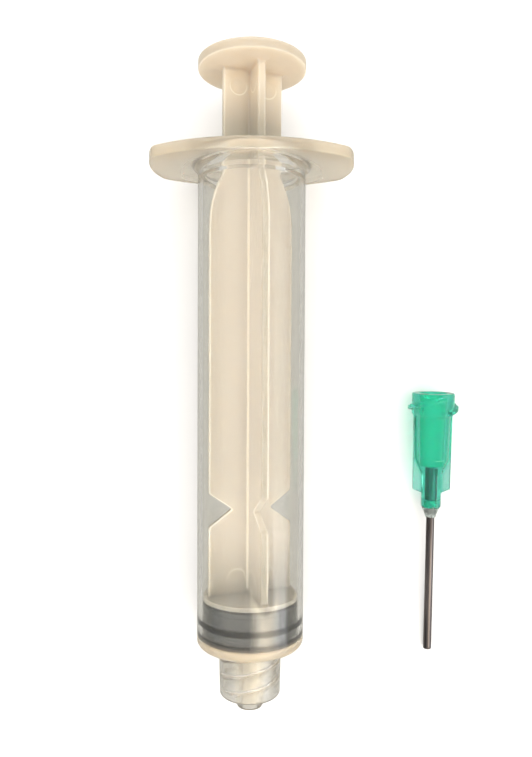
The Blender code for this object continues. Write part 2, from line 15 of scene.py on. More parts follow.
import bpy
import numpy as np
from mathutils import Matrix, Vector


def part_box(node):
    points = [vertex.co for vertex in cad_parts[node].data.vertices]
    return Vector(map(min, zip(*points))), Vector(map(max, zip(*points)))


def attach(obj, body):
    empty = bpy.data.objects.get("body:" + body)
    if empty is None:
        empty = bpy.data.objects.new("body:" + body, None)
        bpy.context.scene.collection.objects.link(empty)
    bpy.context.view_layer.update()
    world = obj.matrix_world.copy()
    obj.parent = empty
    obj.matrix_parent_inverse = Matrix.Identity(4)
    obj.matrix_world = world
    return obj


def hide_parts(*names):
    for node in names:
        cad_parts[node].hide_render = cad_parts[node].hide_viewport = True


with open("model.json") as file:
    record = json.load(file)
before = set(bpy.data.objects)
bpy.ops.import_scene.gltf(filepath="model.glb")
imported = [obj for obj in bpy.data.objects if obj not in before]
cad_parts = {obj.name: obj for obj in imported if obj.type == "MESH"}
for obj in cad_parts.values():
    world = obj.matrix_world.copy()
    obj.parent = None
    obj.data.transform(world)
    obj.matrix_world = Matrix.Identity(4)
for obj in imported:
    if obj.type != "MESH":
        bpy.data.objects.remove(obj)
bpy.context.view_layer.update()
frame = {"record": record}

LOG = logging.getLogger("dispensing_syringe")
MM = 0.001
SHARP_ANGLE = math.radians(38.0)
FULL_TURN = 2.0 * math.pi
QUARTERS = 4
PLASTIC_IOR = 1.49
EPOXY_IOR = 1.55

Array = np.ndarray
Colour = tuple[float, float, float]

# A base value, and how much a pattern from 0 to 1 adds to it.
Spread = tuple[float, float]

# Where a smooth rise starts and where it ends.
Limits = tuple[float, float]


class Body(Enum):
    """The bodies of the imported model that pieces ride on."""

    BARREL = "barrel"
    PISTON = "piston"
    PLUNGER = "plunger"
    NEEDLE = "needle"


class Ends(Enum):
    """How the rows of a surface close: on themselves, or on a pole at each end."""

    LOOP = "loop"
    POLES = "poles"


class Sum(Enum):
    """Operations of a Math node that the shader expressions use."""

    ADD = "ADD"
    SUBTRACT = "SUBTRACT"
    MULTIPLY = "MULTIPLY"


# Geometry helpers: sections, grids and meshes.


@dataclass(frozen=True)
class Axis:
    """An upright piece's frame, laid down: local x stays level and local z runs along it."""

    origin: Array
    way: Array

    def place(self, points: Array) -> Array:
        """Lay local points down: origin + x * level + y * down + z * way."""
        level = np.array([1.0, 0.0, 0.0])
        return self.origin + points @ np.stack([level, np.cross(self.way, level), self.way])


def unit(vectors: Array) -> Array:
    """Vectors scaled to length one along their last direction."""
    return vectors / np.linalg.norm(vectors, axis=-1, keepdims=True)


def ease(share: Array) -> Array:
    """Smooth step from 0 to 1: 3 s^2 - 2 s^3 of the share clipped to 0..1."""
    held = np.clip(share, 0.0, 1.0)
    return held * held * (3.0 - 2.0 * held)


def bump(offset: Array, half_width: float) -> Array:
    """Round hump of height 1: a cosine bell that ends a half width from its middle."""
    return 0.5 + 0.5 * np.cos(np.pi * np.clip(offset / half_width, -1.0, 1.0))


def rounded_section(corners: Array, ends: Ends, steps: int = 5) -> Array:
    """Round the corners of a half-section, each by its own radius.

    Each corner becomes an arc that touches both of its sides: the spoke from the arc's
    centre turns evenly from one touching point to the other.

    Args:
        corners: rows of radius, height, rounding, and any shares that a row carries along.
        ends: LOOP for a closed section; POLES for one that starts and ends on the axis.
        steps: points on each arc, less one.

    Returns:
        Rows of radius, height and the carried shares.
    """
    ring = np.concatenate([corners[-1:], corners, corners[:1]]) if ends is Ends.LOOP else corners
    place = ring[1:-1, :2]
    rounding = ring[1:-1, 2:3]
    carried = ring[1:-1, 3:]
    back = unit(ring[:-2, :2] - place)
    ahead = unit(ring[2:, :2] - place)
    half = np.arccos(np.clip((back * ahead).sum(1, keepdims=True), -1.0, 1.0)) / 2.0
    centre = place + unit(back + ahead) * rounding / np.sin(half)
    first = place + back * rounding / np.tan(half) - centre
    last = place + ahead * rounding / np.tan(half) - centre
    turn = (np.pi - 2.0 * half)[:, None, :]
    share = np.linspace(0.0, 1.0, steps + 1)[None, :, None]
    spokes = first[:, None] * np.sin((1.0 - share) * turn) + last[:, None] * np.sin(share * turn)
    arcs = centre[:, None] + spokes / np.sin(turn)
    kept = np.broadcast_to(carried[:, None], (*arcs.shape[:2], carried.shape[1]))
    rows = np.concatenate([arcs, kept], axis=2).reshape(-1, 2 + carried.shape[1])
    if ends is Ends.LOOP:
        return rows
    poles = np.delete(corners, 2, axis=1)
    return np.concatenate([poles[:1], rows, poles[-1:]])


def subdivided(rows: Array, step: float, ends: Ends) -> Array:
    """Cut each straight stretch of a section into equal steps no longer than one length.

    Args:
        rows: rows of radius, height and carried shares.
        step: longest stretch that is left uncut.
        ends: LOOP to cut the stretch from the last row to the first as well.

    Returns:
        More rows of the same kind along the same line.
    """
    path = np.concatenate([rows, rows[:1]]) if ends is Ends.LOOP else rows
    stretch = np.diff(path, axis=0)
    counts = np.maximum(1, np.ceil(np.linalg.norm(stretch[:, :2], axis=1) / step)).astype(int)
    segment = np.repeat(np.arange(len(stretch)), counts)
    before = np.repeat(np.cumsum(counts) - counts, counts)
    share = (np.arange(len(segment)) - before) / counts[segment]
    cut = path[segment] + share[:, None] * stretch[segment]
    return cut if ends is Ends.LOOP else np.concatenate([cut, path[-1:]])


def at_angles(rows: Array, angle: Array) -> Array:
    """Turn a section about the axis: each row becomes a circle of its radius at its height.

    Args:
        rows: rows that start with radius and height.
        angle: angles of the columns.

    Returns:
        A grid of points, with a row for each row and a column for each angle.
    """
    radius = rows[:, :1]
    tall = np.broadcast_to(rows[:, 1:2], (len(rows), len(angle)))
    return np.stack([radius * np.cos(angle), radius * np.sin(angle), tall], axis=2)


def even_angles(columns: int) -> Array:
    """Angles of a number of columns spaced evenly round the axis."""
    return np.arange(columns) * (FULL_TURN / columns)


@dataclass
class Skin:
    """A closed surface: rows along the section, columns round the axis, and its marks."""

    points: Array
    ends: Ends
    marks: dict[str, Array] = field(default_factory=dict)

    def quads(self) -> Array:
        """Quads of the grid, by index arithmetic on whole rows and columns.

        Returns:
            Four corner indices for each quad.
        """
        rows, columns = self.points.shape[:2]
        row = np.arange(rows if self.ends is Ends.LOOP else rows - 1)[:, None]
        column = np.arange(columns)[None, :]
        here = row * columns
        after = (row + 1) % rows * columns
        beside = (column + 1) % columns
        corners = [here + column, here + beside, after + beside, after + column]
        return np.stack(np.broadcast_arrays(*corners), axis=2).reshape(-1, 4)

    def fans(self) -> Array:
        """Triangles that close the first and last rows on the two poles after the grid.

        Returns:
            Three corner indices for each triangle.
        """
        rows, columns = self.points.shape[:2]
        column = np.arange(columns)
        beside = (column + 1) % columns
        pole = np.full(columns, rows * columns)
        top = np.stack([pole, beside, column], axis=1)
        last = (rows - 1) * columns
        return np.concatenate([top, np.stack([pole + 1, last + column, last + beside], axis=1)])

    def with_poles(self, grid: Array) -> Array:
        """A grid's values as one list, with the mean of each end row added for its pole.

        Args:
            grid: values or points by row and column.

        Returns:
            The list, in the order of the mesh's vertices.
        """
        flat = grid.reshape(-1, *grid.shape[2:])
        if self.ends is Ends.LOOP:
            return flat
        return np.concatenate([flat, grid[:1].mean(1), grid[-1:].mean(1)])

    def mesh(self, name: str, axis: Axis) -> bpy.types.Mesh:
        """Build the mesh, laid along an axis, with its faces outwards and its marks as attributes.

        Args:
            name: the mesh's name.
            axis: the frame that the local points are laid down by.

        Returns:
            A smooth mesh whose edges are sharp where the surface turns a corner.
        """
        local = self.with_poles(self.points)
        quads = self.quads()
        fans = np.empty((0, 3), int) if self.ends is Ends.LOOP else self.fans()
        diagonal = [quads[:, [0, 1, 2]], quads[:, [0, 2, 3]], fans]
        a, b, c = np.moveaxis(local[np.concatenate(diagonal)], 1, 0)
        if (a * np.cross(b, c)).sum() < 0.0:
            quads = quads[:, ::-1]
            fans = fans[:, ::-1]
        mesh = bpy.data.meshes.new(name)
        mesh.from_pydata(axis.place(local).tolist(), [], quads.tolist() + fans.tolist())
        for mark, grid in self.marks.items():
            layer = mesh.attributes.new(mark, "FLOAT", "POINT")
            layer.data.foreach_set("value", self.with_poles(grid).astype(np.float32))
        mesh.shade_smooth()
        mesh.set_sharp_from_angle(angle=SHARP_ANGLE)
        return mesh


def show(name: str, data: bpy.types.ID) -> bpy.types.Object:
    """Put data into the scene as a new object.

    Args:
        name: the object's name.
        data: its mesh, light or camera.

    Returns:
        The object, at the origin.
    """
    made = bpy.data.objects.new(name, data)
    bpy.context.scene.collection.objects.link(made)
    return made


def add_piece(
    mesh: bpy.types.Mesh, material: bpy.types.Material, body: Body
) -> bpy.types.Object:
    """Show a mesh in place of the node that it is named for.

    Args:
        mesh: the finished mesh, named for its piece, whose node is the name without _skin.
        material: the piece's finish.
        body: the body that it moves with.

    Returns:
        The new object, riding on its body.
    """
    piece = show(mesh.name, mesh)
    mesh.materials.append(material)
    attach(piece, body.value)
    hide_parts(mesh.name.removesuffix("_skin"))
    LOG.info("%s rides on %s with %d faces", mesh.name, body.value, len(mesh.polygons))
    return piece


# Shader helpers: sockets as Python values, and one method that makes any node.


class Value:
    """A node's output that takes part in Python arithmetic by adding Math nodes."""

    def __init__(self, shader: "Shader", socket: Optional[bpy.types.NodeSocket]) -> None:
        """Wrap one output socket of a shader's node; an output node has none."""
        self.shader = shader
        self.socket = socket

    def _sum(self, kind: Sum, first: "Number", second: "Number") -> "Value":
        """Add a Math node for two values."""
        return self.shader.node("ShaderNodeMath", {"operation": kind.value}, {0: first, 1: second})

    def __add__(self, other: "Number") -> "Value":
        """self + other"""
        return self._sum(Sum.ADD, self, other)

    def __radd__(self, other: "Number") -> "Value":
        """other + self"""
        return self._sum(Sum.ADD, other, self)

    def __sub__(self, other: "Number") -> "Value":
        """self - other"""
        return self._sum(Sum.SUBTRACT, self, other)

    def __rsub__(self, other: "Number") -> "Value":
        """other - self"""
        return self._sum(Sum.SUBTRACT, other, self)

    def __mul__(self, other: "Number") -> "Value":
        """self * other"""
        return self._sum(Sum.MULTIPLY, self, other)

    def __rmul__(self, other: "Number") -> "Value":
        """other * self"""
        return self._sum(Sum.MULTIPLY, other, self)


Number = Union[float, Value]


def varied(pattern: Value, spread: Spread) -> Value:
    """A base value that a pattern raises."""
    base, rise = spread
    return base + pattern * rise


def dimmed(colour: Colour, share: float) -> Colour:
    """A share of a colour."""
    return tuple(share * part for part in colour)


def rgba(colour: Any) -> Any:
    """A colour with full opacity; a link stays as it is."""
    return colour if isinstance(colour, Value) else (*colour, 1.0)


@dataclass(frozen=True)
class Pattern:
    """Soft noise: patches per metre, levels of detail and how strong the finer ones are."""

    scale: float
    detail: float = 3.0
    roughness: float = 0.5


@dataclass(frozen=True)
class Relief:
    """Surface relief: its height in metres where its pattern is 1, and how much of it shows."""

    depth: float
    strength: float


@dataclass(frozen=True)
class Scatter:
    """Light's way inside a milky plastic: shares for red, green and blue, and a length in metres."""

    shares: Colour
    depth: float


class Shader:
    """The node tree of a material or a world, with one method that adds any node to it."""

    def __init__(self, owner: Union[bpy.types.Material, bpy.types.World]) -> None:
        """Start an empty node tree in its owner."""
        self.owner = owner
        owner.use_nodes = True
        self.tree = owner.node_tree
        self.tree.nodes.clear()

    def node(
        self, kind: str, settings: dict[str, Any], sockets: dict[Any, Any], output: Any = 0
    ) -> Value:
        """Add a node.

        Args:
            kind: the node's type.
            settings: its properties, set first.
            sockets: plain values or links, by the input's name or number.
            output: name or number of the output to hand back.

        Returns:
            The output as a value.
        """
        made = self.tree.nodes.new(kind)
        for name, setting in settings.items():
            setattr(made, name, setting)
        for key, given in sockets.items():
            if isinstance(given, Value):
                self.tree.links.new(given.socket, made.inputs[key])
            else:
                made.inputs[key].default_value = given
        return Value(self, made.outputs[output] if len(made.outputs) else None)

    def coordinates(self, squeeze: float = 1.0, lean: float = 0.0) -> Value:
        """Object coordinates whose patterns can be drawn out along a piece.

        Args:
            squeeze: scale along y; less than 1 draws patterns out.
            lean: angle about x that first brings a leaning piece level.

        Returns:
            The place that a pattern reads.
        """
        place = self.node("ShaderNodeTexCoord", {}, {}, "Object")
        level = self.node("ShaderNodeMapping", {}, {"Vector": place, "Rotation": (lean, 0.0, 0.0)})
        return self.node("ShaderNodeMapping", {}, {"Vector": level, "Scale": (1.0, squeeze, 1.0)})

    def noise(self, place: Value, pattern: Pattern) -> Value:
        """Soft noise from 0 to 1.

        Args:
            place: coordinates that it is read at.
            pattern: how fine it is.

        Returns:
            The noise's value.
        """
        sockets = {
            "Vector": place,
            "Scale": pattern.scale,
            "Detail": pattern.detail,
            "Roughness": pattern.roughness,
        }
        return self.node("ShaderNodeTexNoise", {}, sockets, "Fac")

    def ramp(self, value: Value, low: float, high: float) -> Value:
        """Smooth rise from 0 at low to 1 at high."""
        sockets = {"Value": value, "From Min": low, "From Max": high}
        return self.node("ShaderNodeMapRange", {"interpolation_type": "SMOOTHSTEP"}, sockets)

    def mark(self, name: str) -> Value:
        """A mark of the piece's own mesh."""
        return self.node("ShaderNodeAttribute", {"attribute_name": name}, {}, "Fac")

    def mix(self, share: Number, first: Any, second: Any) -> Value:
        """A colour between two others."""
        colours = {0: share, 6: rgba(first), 7: rgba(second)}
        return self.node("ShaderNodeMix", {"data_type": "RGBA"}, colours, 2)

    def relief(self, height: Value, relief: Relief) -> Value:
        """A normal bent by a height."""
        sockets = {"Height": height, "Distance": relief.depth, "Strength": relief.strength}
        return self.node("ShaderNodeBump", {}, sockets, "Normal")

    def principled(self, colour: Any, roughness: Number, more: dict[str, Any]) -> Value:
        """A Principled shader with a colour, a roughness and more sockets by name."""
        sockets = {"Base Color": rgba(colour), "Roughness": roughness, **more}
        return self.node("ShaderNodeBsdfPrincipled", {}, sockets, "BSDF")

    def see_through(self, colour: Value, roughness: Value, ior: float, more: dict[str, Any]) -> Value:
        """A clear shader that lets all light through."""
        return self.principled(colour, roughness, {"IOR": ior, "Transmission Weight": 1.0, **more})

    def milky(self, colour: Value, roughness: Value, scatter: Scatter, more: dict[str, Any]) -> Value:
        """A plastic shader that scatters light inside.

        Args:
            colour: its colour.
            roughness: its roughness.
            scatter: how far light goes inside.
            more: more sockets by name.

        Returns:
            The shader.
        """
        return self.principled(colour, roughness, {
            "IOR": PLASTIC_IOR,
            "Subsurface Weight": 1.0,
            "Subsurface Radius": scatter.shares,
            "Subsurface Scale": scatter.depth,
            **more,
        })

    def blend(self, share: Number, first: Value, second: Value) -> Value:
        """A shader between two others."""
        return self.node("ShaderNodeMixShader", {}, {0: share, 1: first, 2: second})

    def finish(self, surface: Value) -> Any:
        """Link a surface to the output.

        Args:
            surface: the finished shader.

        Returns:
            The material or world that owns the nodes.
        """
        of_world = isinstance(self.owner, bpy.types.World)
        kind = "ShaderNodeOutputWorld" if of_world else "ShaderNodeOutputMaterial"
        self.node(kind, {}, {"Surface": surface})
        return self.owner


# Finishes.


@dataclass(frozen=True)
class BarrelPlastic:
    """Natural polypropylene: a clear thin wall with a cool haze that turns creamy where it is thick."""

    clear: Colour = (0.975, 0.968, 0.945)
    clear_thick: Colour = (0.95, 0.90, 0.80)
    haze: Colour = (0.32, 0.305, 0.265)
    milk: Colour = (0.70, 0.61, 0.475)
    milk_full: float = 0.65
    milk_share: float = 0.32
    wall_share: float = 0.06
    clear_rough: Spread = (0.02, 0.04)
    milk_rough: Spread = (0.18, 0.1)
    frost: float = 0.14
    frost_full: float = 0.15
    scatter: Scatter = Scatter((1.0, 0.95, 0.85), 1.4 * MM)
    squeeze: float = 0.12
    flow: Pattern = Pattern(90.0, 4.0)
    ripple: Pattern = Pattern(420.0, 2.0)
    ripple_relief: Relief = Relief(0.004 * MM, 0.2)

    def material(self) -> bpy.types.Material:
        """Clear wall mixed with milky plastic by the mesh's thick mark, frosted where it is thick.

        Returns:
            The finished material.
        """
        shader = Shader(bpy.data.materials.new("barrel_plastic"))
        along = shader.coordinates(self.squeeze)
        flow = shader.noise(along, self.flow)
        normal = shader.relief(shader.noise(along, self.ripple), self.ripple_relief)
        thick = shader.mark("thick")
        tint = shader.ramp(thick, 0.0, self.milk_full)
        frost = shader.ramp(thick, 0.0, self.frost_full) * self.frost
        clear_colour = shader.mix(tint, self.clear, self.clear_thick)
        clear = shader.see_through(clear_colour, varied(flow, self.clear_rough) + frost, PLASTIC_IOR, {})
        milk_colour = shader.mix(tint, self.haze, self.milk)
        milk_rough = varied(flow, self.milk_rough)
        milky = shader.milky(milk_colour, milk_rough, self.scatter, {"Normal": normal})
        share = self.wall_share + thick * (self.milk_share - self.wall_share)
        return shader.finish(shader.blend(share, clear, milky))


@dataclass(frozen=True)
class RodPlastic:
    """Natural polypropylene in thicker ribs: cream and softly translucent, with painted shade, painted light
    and painted highlights.
    """

    cream: Colour = (0.445, 0.402, 0.345)
    shade: Colour = (0.432, 0.396, 0.345)
    # Painted shade: the darker colour for the neck above the barrel's mouth, the rod near the disc and the
    # rib tips.
    painted_shade: Colour = (0.298, 0.276, 0.228)
    # Painted light: the lighter colour along the neck towards the thumb rest, less on its rim.
    pale: Colour = (0.634, 0.549, 0.447)
    # Painted highlight: the bright colour of the lines along the ribs' edges.
    edge: Colour = (0.76, 0.71, 0.60)
    # Painted highlight: the colour of the arcs round the ejector marks.
    ring: Colour = (0.95, 0.89, 0.76)
    seen_through: Colour = (0.97, 0.93, 0.85)
    gloss: float = 0.2
    # How strong the painted highlight arcs are, and where they lie round the marks.
    ring_highlight_lift: float = 0.35
    ring_rise: Limits = (0.74, 0.9)
    ring_fall: Limits = (1.0, 1.2)
    ring_arc: Limits = (-0.7, 0.5)
    through: Spread = (0.05, 0.2)
    # Where the painted shade lies, more of the cloudy see-through plastic shows.
    painted_shade_through: float = 0.2
    shade_share: float = 0.5
    milk_rough: Spread = (0.25, 0.12)
    cloud_rough: Spread = (0.12, 0.12)
    scatter: Scatter = Scatter((1.0, 0.9, 0.75), 3.5 * MM)
    squeeze: float = 0.2
    flow: Pattern = Pattern(110.0, 4.0)
    grain: Pattern = Pattern(2600.0, 2.0)
    grain_relief: Relief = Relief(0.01 * MM, 0.3)

    def ejector_ring_highlight(self, shader: Shader) -> Value:
        """Painted highlight arcs round the ejector marks, on the side away from the ribs' ends.

        The squared distance from a mark's middle, in mark radii, rises and falls again across
        the ring, and the distance from the rib's end fades out the near half.

        Args:
            shader: the material's nodes.

        Returns:
            A share from 0 to 1.
        """
        across = shader.mark("mark_across")
        along = shader.mark("mark_along")
        apart = across * across + along * along
        ring = shader.ramp(apart, *self.ring_rise) * (1.0 - shader.ramp(apart, *self.ring_fall))
        return ring * shader.ramp(along, *self.ring_arc)

    def material(self) -> bpy.types.Material:
        """Cream that scatters light, with painted shade, painted light and painted highlights, mixed with
        cloudy see-through plastic along flow marks.

        Returns:
            The finished material.
        """
        shader = Shader(bpy.data.materials.new("rod_plastic"))
        along = shader.coordinates(self.squeeze)
        flow = shader.noise(along, self.flow)
        normal = shader.relief(shader.noise(along, self.grain), self.grain_relief)
        edge = shader.mark("edge")
        # Painted shade darkens the face colour where its mark is set.
        painted_shade = shader.mark("painted_shade")
        face = shader.mix(painted_shade, shader.mix(flow, self.cream, self.shade), self.painted_shade)
        # Painted light lightens the neck towards the thumb rest.
        face = shader.mix(shader.mark("pale"), face, self.pale)
        # Painted highlight lines along one corner and the root of each rib.
        face = shader.mix(edge, face, self.edge)
        # Painted highlight arcs round the ejector marks.
        face = shader.mix(self.ejector_ring_highlight(shader) * self.ring_highlight_lift, face, self.ring)
        glossy = {"Specular IOR Level": self.gloss, "Normal": normal}
        milky = shader.milky(face, varied(flow, self.milk_rough), self.scatter, glossy)
        cloud_colour = shader.mix(flow * self.shade_share, self.seen_through, self.shade)
        cloud_rough = varied(flow, self.cloud_rough)
        cloudy = shader.see_through(cloud_colour, cloud_rough, PLASTIC_IOR, {"Normal": normal})
        through = varied(flow, self.through) + painted_shade * self.painted_shade_through
        return shader.finish(shader.blend(through * (1.0 - edge), milky, cloudy))


@dataclass(frozen=True)
class SealRubber:
    """Grey moulded rubber, with painted shade on the bands that press against the bore."""

    grey: Colour = (0.0155, 0.0195, 0.0195)
    # Painted shade: the darker colour of the bands that press against the bore.
    painted_contact_shade: Colour = (0.0077, 0.0085, 0.0083)
    speckle_dark: float = 0.8
    rough: Spread = (0.5, 0.2)
    speckle: Pattern = Pattern(3800.0, 2.0)
    speckle_relief: Relief = Relief(0.01 * MM, 0.4)

    def material(self) -> bpy.types.Material:
        """Speckled grey, with painted shade on the bands that press against the bore.

        Returns:
            The finished material.
        """
        shader = Shader(bpy.data.materials.new("seal_rubber"))
        speckle = shader.noise(shader.coordinates(), self.speckle)
        grey = shader.mix(speckle, self.grey, dimmed(self.grey, self.speckle_dark))
        # Painted shade on the bands that press against the bore.
        colour = shader.mix(shader.mark("painted_contact_shade"), grey, self.painted_contact_shade)
        normal = shader.relief(speckle, self.speckle_relief)
        return shader.finish(shader.principled(colour, varied(speckle, self.rough), {"Normal": normal}))


@dataclass(frozen=True)
class HubPlastic:
    """Translucent green polypropylene, paler in the thin wings."""

    green: Colour = (0.105, 0.76, 0.575)
    thin: Colour = (0.38, 0.86, 0.76)
    milk_share: Spread = (0.03, 0.05)
    clear_rough: Spread = (0.03, 0.06)
    milk_rough: Spread = (0.25, 0.1)
    scatter: Scatter = Scatter((0.4, 1.0, 0.7), 1.5 * MM)
    squeeze: float = 0.25
    flow: Pattern = Pattern(260.0)
    flow_relief: Relief = Relief(0.03 * MM, 0.3)

    def material(self) -> bpy.types.Material:
        """Green glass-like plastic with faint flow marks and a milky share.

        Returns:
            The finished material.
        """
        shader = Shader(bpy.data.materials.new("hub_plastic"))
        flow = shader.noise(shader.coordinates(self.squeeze), self.flow)
        bent = {"Normal": shader.relief(flow, self.flow_relief)}
        colour = shader.mix(shader.mark("wing"), self.green, self.thin)
        clear = shader.see_through(colour, varied(flow, self.clear_rough), PLASTIC_IOR, bent)
        milky = shader.milky(colour, varied(flow, self.milk_rough), self.scatter, bent)
        return shader.finish(shader.blend(varied(flow, self.milk_share), clear, milky))


@dataclass(frozen=True)
class NeedleSteel:
    """Drawn stainless steel with streaks along the tube, which leans by an angle."""

    lean: float
    pale: Colour = (0.20, 0.178, 0.176)
    dark: Colour = (0.055, 0.046, 0.047)
    pale_streaks: Limits = (0.35, 0.65)
    rough: Spread = (0.22, 0.2)
    squeeze: float = 0.02
    streak: Pattern = Pattern(2400.0, 3.0, 0.6)
    streak_relief: Relief = Relief(0.006 * MM, 0.5)

    def material(self) -> bpy.types.Material:
        """Metal whose colour and roughness follow fine lengthwise streaks.

        Returns:
            The finished material.
        """
        shader = Shader(bpy.data.materials.new("needle_steel"))
        streak = shader.noise(shader.coordinates(self.squeeze, -self.lean), self.streak)
        colour = shader.mix(shader.ramp(streak, *self.pale_streaks), self.dark, self.pale)
        normal = shader.relief(streak, self.streak_relief)
        metal = {"Metallic": 1.0, "Normal": normal}
        return shader.finish(shader.principled(colour, varied(streak, self.rough), metal))


@dataclass(frozen=True)
class ClearEpoxy:
    """Cured clear epoxy, cloudy with fine bubbles."""

    clear: Colour = (0.62, 0.86, 0.76)
    milk: Colour = (0.60, 0.68, 0.65)
    milk_share: Spread = (0.1, 0.35)
    patches: Limits = (0.4, 0.7)
    clear_rough: Spread = (0.05, 0.1)
    milk_rough: Spread = (0.3, 0.1)
    cloud: Pattern = Pattern(1500.0)
    cloud_relief: Relief = Relief(0.02 * MM, 0.3)

    def material(self) -> bpy.types.Material:
        """Glassy shell with milky patches.

        Returns:
            The finished material.
        """
        shader = Shader(bpy.data.materials.new("epoxy"))
        cloud = shader.noise(shader.coordinates(), self.cloud)
        bent = {"Normal": shader.relief(cloud, self.cloud_relief)}
        colour = shader.mix(cloud, self.clear, self.milk)
        glass = shader.see_through(colour, varied(cloud, self.clear_rough), EPOXY_IOR, bent)
        milk = shader.principled(self.milk, varied(cloud, self.milk_rough), {})
        patches = shader.ramp(cloud, *self.patches)
        return shader.finish(shader.blend(varied(patches, self.milk_share), glass, milk))


@dataclass(frozen=True)
class FloorPaint:
    """Plain pale studio floor."""

    pale: Colour = (0.61, 0.61, 0.61)
    shade: float = 0.985
    rough: float = 0.9
    mottle: Pattern = Pattern(12.0)

    def material(self) -> bpy.types.Material:
        """Matt pale paint with a trace of mottling.

        Returns:
            The finished material.
        """
        shader = Shader(bpy.data.materials.new("floor_paint"))
        mottle = shader.noise(shader.coordinates(), self.mottle)
        colour = shader.mix(mottle, self.pale, dimmed(self.pale, self.shade))
        return shader.finish(shader.principled(colour, self.rough, {"Specular IOR Level": 0.0}))


# Sub-assemblies.


